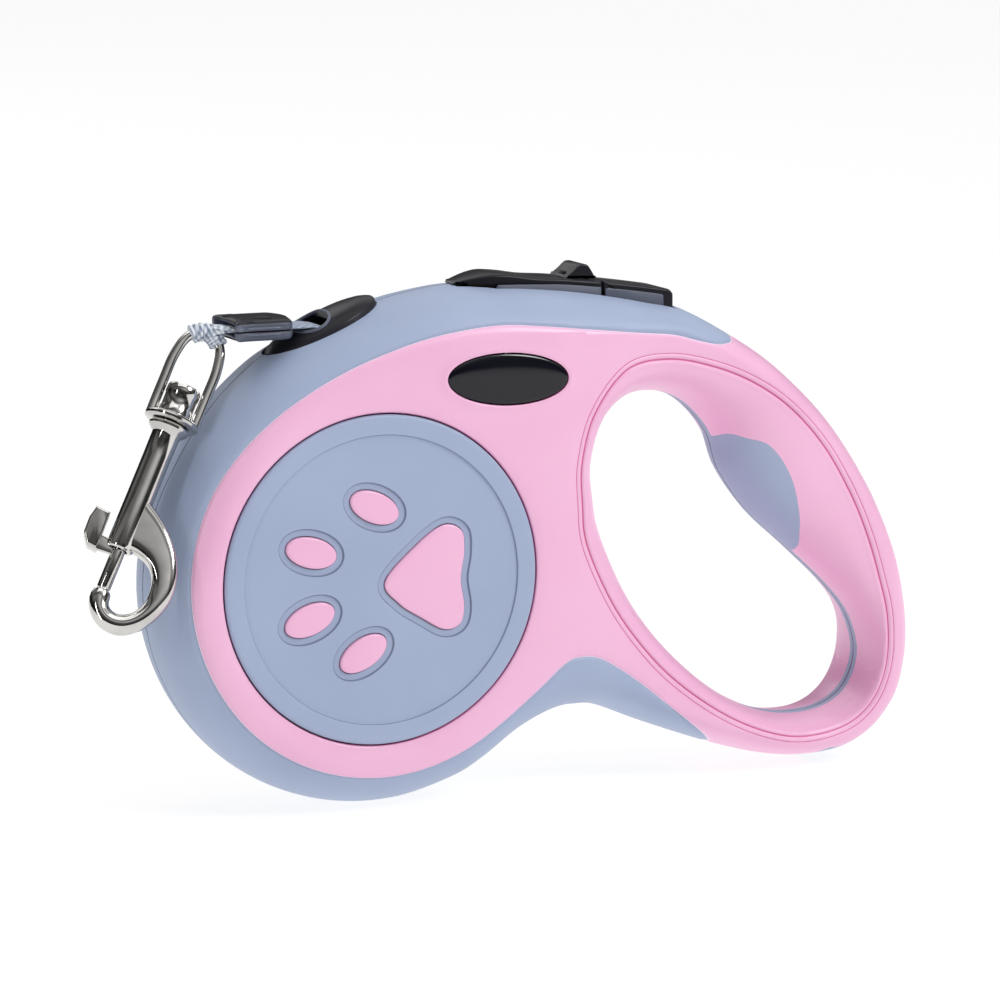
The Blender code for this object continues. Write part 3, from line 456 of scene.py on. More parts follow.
class Nodes(Tree):
    """A new material with its shader, and textures that follow the object."""

    def __init__(self, name):
        self.material = bpy.data.materials.new(name)
        self.material.use_nodes = True
        super().__init__(self.material.node_tree)
        self.shader = self.tree.nodes["Principled BSDF"]
        self.place = self.add("ShaderNodeTexCoord").outputs["Object"]

    def noise(self, scale, detail=3.0):
        node = self.add("ShaderNodeTexNoise")
        node.inputs["Scale"].default_value = scale
        node.inputs["Detail"].default_value = detail
        self.link(self.place, node.inputs["Vector"])
        return node.outputs["Fac"]

    def voronoi(self, scale):
        node = self.add("ShaderNodeTexVoronoi")
        node.inputs["Scale"].default_value = scale
        self.link(self.place, node.inputs["Vector"])
        return node.outputs["Distance"]

    def bump(self, height, strength, distance, after=None):
        node = self.add("ShaderNodeBump")
        node.inputs["Strength"].default_value = strength
        node.inputs["Distance"].default_value = distance
        self.link(height, node.inputs["Height"])
        if after:
            self.link(after, node.inputs["Normal"])
        return node.outputs["Normal"]

    def edges(self, low, high):
        """1 along worn outer edges, 0 on faces."""
        return self.ramp(self.add("ShaderNodeNewGeometry").outputs["Pointiness"], (low, 0.0), (high, 1.0))

    def set(self, **values):
        for key, value in values.items():
            self.shader.inputs[key.replace("_", " ")].default_value = value


def moulded(name, colour, second, roughness, grain, coat=0.0, sheen=0.0, edge=None, specular=0.5):
    """Moulded plastic or rubber: a fine spark-eroded grain, slight mottling and, with edge, worn edges."""
    n = Nodes(name)
    mottle = n.ramp(n.noise(38.0, 4.0), (0.35, 0.0), (0.65, 1.0))
    base = n.mix(mottle, colour, second)
    if edge:
        base = n.mix(n.edges(0.52, 0.60), base, edge)
    n.link(base, n.shader.inputs["Base Color"])
    n.link(n.scaled(n.noise(160.0, 5.0), roughness - 0.05, roughness + 0.07), n.shader.inputs["Roughness"])
    fine = n.bump(n.noise(5200.0, 2.0), grain, 0.00003)
    n.link(n.bump(n.voronoi(2600.0), grain * 0.6, 0.00003, fine), n.shader.inputs["Normal"])
    n.set(Coat_Weight=coat, Coat_Roughness=0.2, Sheen_Weight=sheen, Sheen_Roughness=0.4, IOR=1.49)
    n.set(Specular_IOR_Level=specular)
    return n.material


def gloss_plastic(name, colour, roughness):
    """Polished dark plastic with a faintly uneven gloss and a slight orange peel."""
    n = Nodes(name)
    lighter = tuple(c * 1.25 for c in colour)
    n.link(n.mix(n.noise(60.0, 4.0), colour, lighter), n.shader.inputs["Base Color"])
    n.link(n.scaled(n.noise(900.0, 6.0), roughness * 0.7, roughness * 1.5), n.shader.inputs["Roughness"])
    n.link(n.bump(n.noise(420.0, 2.0), 0.05, 0.00008), n.shader.inputs["Normal"])
    n.set(Specular_IOR_Level=0.42, IOR=1.5)
    return n.material


def metal(name, colour, dark, roughness, brushed=0.0):
    """Plated or drawn metal with fine pits and smears."""
    n = Nodes(name)
    smear = n.ramp(n.noise(120.0, 5.0), (0.4, 0.0), (0.75, 1.0))
    n.link(n.mix(smear, colour, dark), n.shader.inputs["Base Color"])
    n.link(n.scaled(n.noise(700.0, 6.0), roughness * 0.6, roughness * 1.7), n.shader.inputs["Roughness"])
    n.link(n.bump(n.noise(1500.0, 3.0), 0.06 + brushed, 0.00004), n.shader.inputs["Normal"])
    n.set(Metallic=1.0)
    return n.material


def webbing(name, light, dark, turn):
    """A woven or braided band: two sets of slanting yarns."""
    n = Nodes(name)
    waves = []
    for angle in (turn, -turn):
        mapping = n.add("ShaderNodeMapping")
        mapping.inputs["Rotation"].default_value = (angle * 0.4, angle, angle)
        n.link(n.place, mapping.inputs["Vector"])
        wave = n.add("ShaderNodeTexWave", wave_type="BANDS")
        wave.inputs["Scale"].default_value = 320.0
        wave.inputs["Distortion"].default_value = 0.6
        n.link(mapping.outputs["Vector"], wave.inputs["Vector"])
        waves.append(wave.outputs["Fac"])
    weave = n.mix(0.5, waves[0], waves[1])
    fibres = n.noise(6000.0, 3.0)
    height = n.mix(0.25, weave, fibres)
    n.link(n.ramp(height, (0.25, dark), (0.7, light)), n.shader.inputs["Base Color"])
    n.link(n.bump(height, 0.6, 0.00025), n.shader.inputs["Normal"])
    n.set(Roughness=0.82, Sheen_Weight=0.35, Sheen_Roughness=0.5)
    return n.material


PINK = moulded("pink_plastic", (0.885, 0.470, 0.690), (0.910, 0.505, 0.722), 0.36, 0.10, coat=0.10)
# Darker, deeper pink for the creases round the handle's lip, round the disc's pocket and on the shell's side
# walls: painted shade.
PINK_PAINTED_SHADE = moulded("pink_painted_shade", (0.66, 0.16, 0.34), (0.72, 0.20, 0.40), 0.5, 0.10, specular=0.2)
# Pale pink along the seam with the rim: a painted highlight on the groove's edge.
PINK_PAINTED_HIGHLIGHT = moulded("pink_painted_highlight", (0.93, 0.70, 0.86), (0.95, 0.76, 0.90), 0.35, 0.05)
BLUE = moulded("blue_grey_rubber", (0.345, 0.415, 0.585), (0.370, 0.442, 0.615), 0.48, 0.14, sheen=0.08)
# Darker blue for the walls of the disc's steps and the disc's side walls: painted shade.
BLUE_PAINTED_SHADE = moulded("blue_painted_shade", (0.190, 0.235, 0.350), (0.210, 0.258, 0.380), 0.5, 0.10, specular=0.2)
BLACK = moulded("black_plastic", (0.010, 0.010, 0.014), (0.015, 0.015, 0.020), 0.30, 0.08, specular=0.17,
                edge=(0.05, 0.05, 0.065))
DARK_GREY = moulded("dark_grey_plastic", (0.058, 0.066, 0.096), (0.070, 0.079, 0.114), 0.40, 0.12,
                    specular=0.35, edge=(0.15, 0.17, 0.23))
GLOSS_BLACK = gloss_plastic("gloss_black", (0.004, 0.004, 0.008), 0.10)
WHITE = moulded("white_plastic", (0.72, 0.72, 0.70), (0.78, 0.78, 0.76), 0.5, 0.10)
CHROME = metal("chrome", (0.66, 0.645, 0.625), (0.44, 0.43, 0.41), 0.08)
STEEL = metal("steel", (0.56, 0.56, 0.58), (0.38, 0.38, 0.40), 0.3, brushed=0.1)
TAPE = webbing("tape_webbing", (0.42, 0.50, 0.64), (0.16, 0.20, 0.30), 0.8)
CORD = webbing("loop_braid", (0.82, 0.86, 0.92), (0.20, 0.26, 0.38), 0.6)

FINISHES = {
    "pink_plastic": PINK, "blue_grey_rubber": BLUE, "black_plastic": BLACK, "dark_grey_plastic": DARK_GREY,
    "gloss_black": GLOSS_BLACK, "white_plastic": WHITE, "chrome": CHROME, "steel": STEEL,
    "tape_webbing": TAPE,
}


def refinish_nodes():
    """Every CAD node gets the procedural material of its own slot."""
    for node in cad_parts.values():
        for place in node.material_slots:
            name = place.material.name.split(".")[0] if place.material else ""
            place.material = FINISHES.get(name, DARK_GREY)


# ---------------- casing


def blend_along(x, low, high):
    """low at the drum, high at the handle, and a smooth change between them."""
    return low + (high - low) * smooth((x - TAPER[0]) / (TAPER[1] - TAPER[0]))


def half_depth(x):
    thinning = HANDLE_THINNING * smooth((x - THINNING[0]) / (THINNING[1] - THINNING[0]))
    return blend_along(x, DRUM_HALF_DEPTH, HANDLE_HALF_DEPTH) - thinning


def rounding(x):
    return blend_along(x, DRUM_ROUNDING, HANDLE_ROUNDING)


DRUM_ARC = circle(DRUM_CENTRE, DRUM_RADIUS, 10, 148, 292)
FINE_OUTLINE = spaced(closed_curve([*DRUM_ARC, *OUTLINE_AFTER_DRUM], 24), 0.3)
FINE_HOLE = closed_curve(HOLE_OUTLINE, 48)
FINE_LIP = closed_curve(HOLE_LIP, 48)
LIP_LINE = spaced(FINE_LIP, 0.8)
OUTER_LIP = LIP_LINE - left_of(LIP_LINE) * 1.3


def within_lip(points):
    """Whether each point is inside the lip round the handle's opening."""
    return inside(points, FINE_LIP[::4])


def badge_loop(margin, count):
    return ellipse(BADGE_CENTRE, (BADGE_SIZE[0] + margin, BADGE_SIZE[1] + margin), BADGE_TURN, count)


def rim_edge():
    middle = [(r * math.cos(math.radians(a)), r * math.sin(math.radians(a))) for a, r in RIM_EDGE]
    return spaced(open_curve(RIM_EDGE_UPPER + middle + RIM_EDGE_LOWER, 12), 0.8, closed=False)


STRIP_ANGLE = 8
SEAM_LINE = rim_edge()
PATCH = spaced(closed_curve(FINGER_PATCH, 10), 0.8)


def palm_outline():
    """The soft pad under the heel of the hand: a strip along the casing's edge that widens at its ends."""
    reach = np.array([(0.0, -1.0), (0.03, 0.8), (0.09, 2.6), (0.16, 2.0), (0.3, 1.2), (0.5, 0.9), (0.7, 1.2),
                      (0.84, 2.0), (0.91, 2.6), (0.97, 0.8), (1.0, -1.0)])
    ends = ((108.5, -49.9), (132.2, -31.0))
    first, last = (np.argmin(np.linalg.norm(FINE_OUTLINE - end, axis=1)) for end in ends)
    stretch = np.arange(first, last + 1)
    offset = np.interp((stretch - first) / (last - first), reach[:, 0], reach[:, 1])
    ways = left_of(FINE_OUTLINE)[stretch]
    inner = FINE_OUTLINE[stretch] + ways * offset[:, None]
    outer = FINE_OUTLINE[stretch] - ways * 1.5
    return spaced(np.vstack([inner, outer[::-1]]), 0.8)


PALM = palm_outline()


def face_depth(points):
    """How far the casing's face is from the middle plane, before its grooves."""
    x = points[:, 0]
    edge = 1 - np.clip(distance_to(FINE_OUTLINE, points) / rounding(x), 0, 1)
    to_hole, to_lip = distance_to(FINE_HOLE, points), distance_to(FINE_LIP, points)
    flare = np.where(within_lip(points), to_lip / (to_hole + to_lip + 1e-9), 0)
    return half_depth(x) * np.sqrt(1 - edge**2) * np.sqrt(np.clip(1 - flare**2, 0, 1))


# Each groove's line, whether it is closed, half its width, and its depth.
GROOVES = ((SEAM_LINE, False, 0.50, 0.30), (FINE_LIP, True, 0.60, 0.50), (OUTER_LIP, True, 0.30, 0.16))


def groove_lines(curve, closed, half_width):
    """The curve and lines beside it, close enough to carry a groove."""
    normals = left_of(curve, closed)
    return [curve + normals * half_width * share for share in (-1.0, -0.66, -0.33, 0.0, 0.33, 0.66, 1.0)]


class Plan:
    """Points in the plane, some of them on tied lines that the triangles between the points keep to."""

    def __init__(self):
        self.points = []
        self.edges = []

    def add(self, curve, tied=True, closed=True):
        first, count = len(self.points), len(curve)
        self.points.extend(curve)
        if tied:
            last = count if closed else count - 1
            self.edges.extend((first + i, first + (i + 1) % count) for i in range(last))

    def triangles(self):
        """The points, triangles between them, and the triangles' middles."""
        found = delaunay_2d_cdt([Vector(p) for p in self.points], self.edges, [], 0, 1e-5)
        flat, triangles = np.array([tuple(p) for p in found[0]]), np.array([tuple(f) for f in found[2]])
        return flat, triangles, flat[triangles].mean(axis=1)


def casing_face():
    """The front of the casing: points in the plane, triangles between them, their middles, and the hole."""
    plan = Plan()
    outline = spaced(FINE_OUTLINE, 1.1)
    ways, widths = left_of(outline), rounding(outline[:, 0])[:, None]
    for angle in (0, 4, 8, 13, 19, 26, 33, 41, 49, 57, 65, 73, 81, 90):
        plan.add(outline + ways * widths * (1 - math.cos(math.radians(angle))), tied=angle == 0)
    hole, lip = closed_curve(HOLE_OUTLINE, 11), closed_curve(HOLE_LIP, 11)
    for angle in (0, 4, STRIP_ANGLE, 13, 19, 26, 33, 40, 47, 54, 60, 66, 71):
        share = 1 - math.cos(math.radians(angle))
        plan.add(hole + (lip - hole) * share, tied=angle in (0, STRIP_ANGLE))
    for line in groove_lines(SEAM_LINE, False, 0.5):
        plan.add(line, closed=False)
    for line in groove_lines(LIP_LINE, True, 0.6) + groove_lines(OUTER_LIP, True, 0.3):
        plan.add(line)
    lip_line = spaced(FINE_LIP, 0.9)
    for margin in (1.0, 1.45, 1.9):
        plan.add(lip_line + left_of(lip_line) * margin, tied=False)
    for radius in (POCKET_RADIUS, 36.4, 36.55, 36.8):
        plan.add(circle((0, 0), radius, 260), tied=radius < 36.5)
    for margin in (0.3, 0.4, 0.6, 0.9, 1.3):
        plan.add(badge_loop(margin, 90), tied=margin < 0.5)
    plan.add(PATCH)
    plan.add(PALM)
    grid = np.array([(x, z) for x in np.arange(-50, 134, 2.6) for z in np.arange(-51, 61, 2.6)])
    keep = inside(grid, outline) & (distance_to(FINE_OUTLINE, grid) > rounding(grid[:, 0]) + 1)
    keep &= (distance_to(FINE_LIP, grid) > 3) & ~inside(grid, lip)
    keep &= distance_to(SEAM_LINE, grid, closed=False) > 1.2
    keep &= np.linalg.norm(grid, axis=1) > POCKET_RADIUS + 1.3
    keep &= ~inside(grid, ellipse(BADGE_CENTRE, (16.0, 7.4), BADGE_TURN, 40))
    plan.add(grid[keep], tied=False)
    flat, triangles, middle = plan.triangles()
    keep = inside(middle, outline) & ~inside(middle, hole)
    return flat, triangles[keep], middle[keep], hole


def carve(points, depth):
    """Moves the points in, square to the surface, at the grooves, and out at the ridge round the badge."""
    cuts = np.zeros(len(points))
    for curve, closed, width, deep in GROOVES:
        away = np.clip(distance_to(curve, points, closed) / width, 0, 1)
        cuts = np.maximum(cuts, deep * (1 - away**2) ** 2)
    from_pocket = np.clip((np.linalg.norm(points, axis=1) - POCKET_RADIUS) / 0.5, 0, 1)
    cuts = np.maximum(cuts, 0.5 * (1 - from_pocket) ** 2)
    from_badge = distance_to(badge_loop(0.3, 160), points)
    cuts -= 0.22 * np.exp(-(((from_badge - 0.55) / 0.3) ** 2))
    to_lip = distance_to(FINE_LIP, points)
    hollow = np.clip((to_lip - 1.0) / 0.5, 0, 1) * np.clip((4.0 - to_lip) / 2.5, 0, 1)
    cuts += np.where(within_lip(points), 0.16, 0.0) * hollow
    moved = np.stack([points[:, 0], depth, points[:, 1]], axis=1)
    marked = np.abs(cuts) > 1e-4
    spot, step = points[marked], 0.02
    along_x, along_z = (np.clip((face_depth(spot + way) - face_depth(spot - way)) / (2 * step), -6, 6)
                        for way in ((step, 0), (0, step)))
    normal = unit(np.stack([-along_x, np.ones(len(spot)), -along_z], axis=1))
    moved[marked] -= normal * cuts[marked][:, None]
    moved[:, 1] = np.maximum(moved[:, 1], SEAM)
    return moved


def closed_skin(name, side, places, triangles, thickness, materials, kinds=None):
    """A piece of the casing's face as a solid of some thickness. kinds has the material of each triangle;
    where any is marked, the side walls take material 1, the darker copy, as painted shade.
    """
    kinds = np.zeros(len(triangles), int) if kinds is None else kinds
    # Side walls get material 1, the darker copy, as painted shade along the piece's edges.
    wall_shade = 1 if kinds.any() else 0
    bm = bmesh.new()
    top, low = {}, {}
    for index in np.unique(triangles):
        x, y, z = places[index]
        top[index] = bm.verts.new((x, side * y, z))
        back = max(y - thickness, SEAM)
        low[index] = top[index] if y - SEAM < 1e-6 else bm.verts.new((x, side * back, z))
    sides = {}
    for (a, b, c), kind in zip(triangles, kinds):
        bm.faces.new((top[a], top[b], top[c])).material_index = int(kind)
        if len({low[a], low[b], low[c]} | {top[a], top[b], top[c]}) > 3:
            bm.faces.new((low[c], low[b], low[a]))
        for pair in ((a, b), (b, c), (c, a)):
            key = tuple(sorted(pair))
            sides[key] = None if key in sides else pair
    for pair in sides.values():
        if pair:
            corners = []
            for vertex in (top[pair[1]], top[pair[0]], low[pair[0]], low[pair[1]]):
                if vertex not in corners:
                    corners.append(vertex)
            if len(corners) > 2:
                bm.faces.new(corners).material_index = wall_shade
    return piece_object(name, bm, materials, crease=50)


def nozzle_blank(margin, height, sides):
    """An oval insert along the top of the drum, domed like the casing round it."""
    angles = [2 * math.pi * i / sides for i in range(sides)]
    rings = []
    levels = [(1.0, -7.0), (1.0, -0.9), (0.985, -0.55), (0.95, -0.25), (0.88, 0.2), (0.76, 0.66), (0.62, 1.0),
              (0.46, 1.28), (0.3, 1.46), (0.14, 1.56), (0.04, 1.6)]
    for scale, level in levels:
        lift = level + (height if level > -7 else 0)
        length, width = ((size + margin) * scale for size in NOZZLE_SIZE)
        middle = NOZZLE_CENTRE + NOZZLE_NORMAL * lift
        rings.append([middle + NOZZLE_ALONG * (length * math.cos(a)) + Vector((0, width * math.sin(a), 0))
                      for a in angles])
    return loft(bmesh.new(), rings)


def box_cutter(low, high):
    outline = np.array([(low[0], low[2]), (high[0], low[2]), (high[0], high[2]), (low[0], high[2])], float)
    return cutter(slab(bmesh.new(), outline, [(0, low[1]), (0, high[1])]))


def button_slot():
    """A slot for the group of buttons, narrower under its nose."""
    half = BUTTON_HALF_WIDTH + 0.3
    plan = [(22.97, -3.5), (NOSE_START, -half), (74.4, -half), (74.4, half), (NOSE_START, half), (22.97, 3.5)]
    return cutter(loft(bmesh.new(), [[Vector((x, y, z)) for x, y in plan] for z in (49.0, 70.0)]))


def screw_hole(centre):
    return cutter(slab(bmesh.new(), circle(centre, 2.9, 48), [(0, 8), (0, 20)]))


def casing_parts(middle, hole):
    """Which triangles of the casing's face, given by their middles, belong to each part."""
    hard_loop = np.vstack([SEAM_LINE, [(90, -90), (180, -90), (180, 90), (100, 90)]])
    hard = inside(middle, hard_loop)
    ways = closed_curve(HOLE_LIP, 11) - hole
    strip = inside(middle, hole + ways * (1 - math.cos(math.radians(STRIP_ANGLE))))
    finger = strip | (inside(middle, PATCH) & within_lip(middle))
    palm = inside(middle, PALM) & hard
    openings = (np.linalg.norm(middle, axis=1) < POCKET_RADIUS) | inside(middle, badge_loop(0.3, 90))
    shell = hard & ~finger & ~palm & ~openings
    return (("shell", shell), ("rim_band", ~hard), ("finger_grip", finger), ("palm_pad", palm))


def shell_painted_light(middle):
    """The shell's material at each triangle: 1 is painted shade in the creases, 2 is a painted highlight
    along the seam with the rim.
    """
    kinds = np.zeros(len(middle), int)
    # Darker pink in the creases round the lip and round the disc's pocket: painted shade.
    kinds[distance_to(FINE_LIP, middle) < 0.2] = 1
    kinds[distance_to(OUTER_LIP, middle) < 0.1] = 1
    kinds[np.linalg.norm(middle, axis=1) < POCKET_RADIUS + 0.12] = 1
    # Pale pink along the seam with the rim: a painted highlight.
    kinds[distance_to(SEAM_LINE, middle, closed=False) < 0.12] = 2
    return kinds


def build_casing():
    points, triangles, middle, hole = casing_face()
    places = carve(points, face_depth(points))
    # Marks for painted shade in the creases and a painted highlight along the seam with the rim.
    kinds = shell_painted_light(middle)
    for label, side in (("front", -1), ("rear", 1)):
        for part, chosen in casing_parts(middle, hole):
            name = f"{label}_{part}"
            if part == "shell":
                finish = SHELL_SKIN, [PINK, PINK_PAINTED_SHADE, PINK_PAINTED_HIGHLIGHT], kinds[chosen]
            else:
                finish = RUBBER_SKIN, [BLUE]
            piece = closed_skin(name + "_look", side, places, triangles[chosen], *finish)
            if part == "rim_band":
                cut(piece, cutter(nozzle_blank(0.15, 2.0, 64)), button_slot())
            if part == "shell" and side > 0:
                cut(piece, *[screw_hole(point) for point in SCREW_POINTS])
            placed(piece, "housing", "pink_plastic" if part == "shell" else "blue_grey_rubber", name)


# ---------------- discs, paw and badge


def paw_loops():
    loops = [spaced(ellipse((x, z), TOE_SIZE, turn, 200), 0.45) for x, z, turn in TOE_PADS]
    return loops + [spaced(closed_curve(HEEL_PAD, 12), 0.45)]


def grown(loop, margin):
    """The loop moved outward by a margin."""
    following = np.roll(loop, -1, axis=0)
    area = (loop[:, 0] * following[:, 1] - following[:, 0] * loop[:, 1]).sum()
    return loop + left_of(loop) * (-margin if area > 0 else margin)


def step_down(distance, width):
    """How far down a step the face is, from 0 outside to STEP_DEPTH inside, over a width about the edge."""
    return STEP_DEPTH * smooth(distance / width + 0.5)


def disc_face():
    """The disc's face: points, triangles, and which triangles are walls of a step, to be painted darker as
    shade.

    It has a raised rim, a lower field, and a still lower surround about each pad.
    """
    plan = Plan()
    for radius in (DISC_RADIUS, 35.97, 35.88, 35.72, 35.5, 35.2, 33.4, 31.9, 31.83, 31.75, 31.68, DISC_STEP,
                   31.52, 31.45, 31.37, 31.3, 29.5):
        plan.add(circle((0, 0), radius, 240), tied=radius in (DISC_RADIUS, DISC_STEP))
    pads = paw_loops()
    recesses = [spaced(grown(pad, PAD_RECESS), 0.45) for pad in pads]
    for pad, recess in zip(pads, recesses):
        for margin in (-0.27, -0.21, -0.14, -0.07, 0.0, 0.07, 0.14, 0.21, 0.27):
            plan.add(grown(recess, margin), tied=margin == 0.0)
        for margin in (PAD_GAP, 0.34, 0.5):
            plan.add(spaced(grown(pad, margin), 0.45), tied=margin == PAD_GAP)
    grid = np.array([(x, z) for x in np.arange(-31, 31, 2.2) for z in np.arange(-31, 31, 2.2)])
    keep = np.linalg.norm(grid, axis=1) < 29
    for recess in recesses:
        keep &= ~inside(grid, grown(recess, 0.8))
    plan.add(grid[keep], tied=False)
    flat, triangles, middle = plan.triangles()
    keep = np.linalg.norm(middle, axis=1) < DISC_RADIUS
    for pad in pads:
        keep &= ~inside(middle, grown(pad, PAD_GAP))
    radius = np.linalg.norm(flat, axis=1)
    depth = DISC_FACE - step_down(DISC_STEP - radius, 0.45)
    for recess in recesses:
        away = distance_to(recess, flat)
        depth -= step_down(np.where(inside(flat, recess), away, -away), 0.42)
    edge = np.clip((radius - DISC_RADIUS) / DISC_ROUNDING + 1, 0, 1)
    depth -= DISC_ROUNDING * (1 - np.sqrt(1 - edge**2))
    # Walls of the steps take the darker blue: painted shade.
    kinds = np.ptp(depth[triangles], axis=1) > 0.09
    kinds &= np.linalg.norm(middle, axis=1) < 33
    return np.stack([flat[:, 0], depth, flat[:, 1]], axis=1), triangles[keep], kinds[keep].astype(int)


def build_paw(label, side):
    """The five pink pads and the thin plate behind the disc that joins them."""
    bm = bmesh.new()
    for loop in paw_loops():
        centre = loop.mean(axis=0)
        rings = []
        for scale, y in ((1.0, 15.0), (1.0, 16.7), (0.985, 16.86), (0.955, 16.97), (0.9, 17.05),
                         (0.75, 17.13), (0.55, 17.19), (0.3, 17.23), (0.08, 17.24)):
            rings.append([Vector((x, side * y, z)) for x, z in centre + (loop - centre) * scale])
        loft(bm, rings)
    slab(bm, circle((0, 0), PAW_PLATE_RADIUS, 96), [(0, side * 14.75), (0, side * 15.1)])
    placed(piece_object(f"{label}_paw_look", bm, [PINK]), "housing", "pink_plastic", f"{label}_paw_inlay")


def build_badge(label, side):
    """A plain domed oval."""
    levels = [(1.0, 16.1)]
    for step in range(13):
        t = math.pi / 2 * step / 12
        levels.append((math.cos(t) if step else 1.0, 16.85 + 0.75 * math.sin(t)))
    rings = []
    for scale, y in levels:
        size = [max(half * scale, 0.02) for half in BADGE_SIZE]
        rings.append([Vector((x, side * y, z)) for x, z in ellipse(BADGE_CENTRE, size, BADGE_TURN, 96)])
    piece = piece_object(f"{label}_badge_look", loft(bmesh.new(), rings), [GLOSS_BLACK])
    placed(piece, "housing", "gloss_black", f"{label}_badge")


def build_discs():
    places, triangles, shaded_walls = disc_face()
    for label, side in (("front", -1), ("rear", 1)):
        name = f"{label}_disc"
        disc = closed_skin(name + "_look", side, places, triangles, RUBBER_SKIN, [BLUE, BLUE_PAINTED_SHADE], shaded_walls)
        placed(disc, "housing", "blue_grey_rubber", name)
        build_paw(label, side)
        build_badge(label, side)


# ---------------- tape outlet and stopper


def tape_start():
    """Where the tape leaves the winding: the line from there to the mouth touches the winding's outside."""
    distance = math.hypot(MOUTH.x, MOUTH.z)
    radius = WINDING_RADIUS - 0.35
    angle = math.atan2(MOUTH.z, MOUTH.x) - math.acos(radius / distance)
    return Vector((radius * math.cos(angle), 0, radius * math.sin(angle)))


def ribbon(points, width, thickness, corner=0.3, sides=20):
    """A flat tape whose width lies along Y, with rounded selvedges."""
    rings = []
    for i, point in enumerate(points):
        ahead = (points[min(i + 1, len(points) - 1)] - points[max(i - 1, 0)]).normalized()
        normal = Vector((-ahead.z, 0, ahead.x))
        ring = []
        for k in range(sides):
            t = 2 * math.pi * k / sides
            across = math.copysign(abs(math.cos(t)) ** corner, math.cos(t)) * width / 2
            ring.append(point + Vector((0, across, 0)) + normal * (math.sin(t) * thickness / 2))
        rings.append(ring)
    return loft(bmesh.new(), rings)


def build_nozzle(ahead):
    nozzle = piece_object("nozzle_look", nozzle_blank(0, 0, 96), [BLACK])
    channel = ribbon([MOUTH + ahead * distance for distance in (-14, -3, 9)], 12.8, 4.4, 0.5, 40)
    cut(nozzle, cutter(channel), box_cutter((-15.5, -5.9, 52.9), (-7.0, 5.9, 60.0)))
    placed(nozzle, "housing", "black_plastic", "nozzle")


def build_mouth_rim():
    """A raised ring round the opening of the nozzle, dark grey against the black nozzle as a painted
    highlight along the opening's edge.
    """
    path = []
    for step in range(72):
        t = 2 * math.pi * step / 72
        x, y = 4.1 * math.cos(t) - 1.5, 6.7 * math.copysign(abs(math.sin(t)) ** 0.75, math.sin(t))
        lift = 1.55 - 1.5 * (y / NOZZLE_SIZE[1]) ** 2 - 1.2 * (x / NOZZLE_SIZE[0]) ** 2
        path.append(NOZZLE_CENTRE + NOZZLE_ALONG * x + Vector((0, y, 0)) + NOZZLE_NORMAL * lift)
    rim = sweep(bmesh.new(), path, 0.42, 10, NOZZLE_NORMAL, closed=True)
    # Dark grey instead of black: a painted highlight on the ring.
    placed(piece_object("mouth_rim", rim, [DARK_GREY]), "housing", "black_plastic")


def build_tape_run(start, ahead):
    """The tape from its winding through the nozzle into the stopper."""
    knots = [start + ahead * 1.5 + Vector((ahead.z, 0, -ahead.x)) * 0.8, start.lerp(MOUTH, 0.5),
             MOUTH - ahead * 2, MOUTH + Vector((-1.4, 0, 0.2))]
    knots += [Vector((x, 0, TAPE_HEIGHT)) for x in (-12.5, -15.5, -22.0)]
    points = [Vector(p) for p in open_curve(knots, 8)]
    run = piece_object("tape_run_look", ribbon(points, TAPE_WIDTH, 0.8), [TAPE])
    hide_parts("tape_run")
    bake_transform(run)


def build_outlet():
    start = tape_start()
    ahead = (MOUTH - start).normalized()
    build_nozzle(ahead)
    build_mouth_rim()
    build_tape_run(start, ahead)


def stopper_loop():
    """The stopper's outline from above: square at the left, rounded towards the nozzle."""
    half, left, right = STOPPER_HALF_WIDTH, STOPPER_LEFT, STOPPER_RIGHT
    side = [(left + 4, half), (right - 3.6, half), (right - 1.5, half - 0.9), (right - 0.6, 4.6)]
    corners = [(left, -half), *[(x, -y) for x, y in side], (right, 0), *side[::-1], (left, half),
               (left + 0.5, 4.0), (left + 0.7, 0), (left + 0.5, -4.0)]
    return spaced(closed_curve(corners, 12), 0.5)


def stopper_half(name, levels, slot, rib):
    """One half of the block, black on top, with a rib along each side and room inside for the tape."""
    loop = stopper_loop()
    normals = left_of(loop)
    bm = bmesh.new()
    rings = []
    for move, z in levels:
        flat = loop + normals * move
        height = 0.22 if move > 0.5 and z > 55 else 0.0
        lifts = height * np.maximum(0.0, 1 - (flat[:, 1] / STOPPER_HALF_WIDTH) ** 2)
        rings.append([Vector((x, y, z + lift)) for (x, y), lift in zip(flat, lifts)])
    loft(bm, rings)
    bmesh.ops.recalc_face_normals(bm, faces=bm.faces)
    for face in bm.faces:
        face.material_index = int(face.normal.z > 0.5)
    for side in (-1, 1):
        path = [Vector((x, side * (STOPPER_HALF_WIDTH + 0.02), rib)) for x in np.linspace(-27.4, -19.2, 12)]
        sweep(bm, path, lambda t: 0.26 * min(1.0, 8 * t + 0.1, 8 * (1 - t) + 0.1), 8, (0, 0, 1))
    piece = piece_object(name + "_look", bm, [DARK_GREY, BLACK])
    slot_cutter = box_cutter((-36.0, -5.4, 53.2), (-10.0, 5.4, 54.8))
    funnel = []
    for x, wide, high in ((-31.5, 6.9, 1.75), (-29.0, 6.4, 1.45), (-26.5, 5.2, 0.7)):
        corners = ((-1, -1), (1, -1), (1, 1), (-1, 1))
        funnel.append([Vector((x, y * wide, TAPE_HEIGHT + z * high)) for y, z in corners])
    cut(piece, slot_cutter, cutter(loft(bmesh.new(), funnel)))
    placed(piece, "leash_end", slot, name)


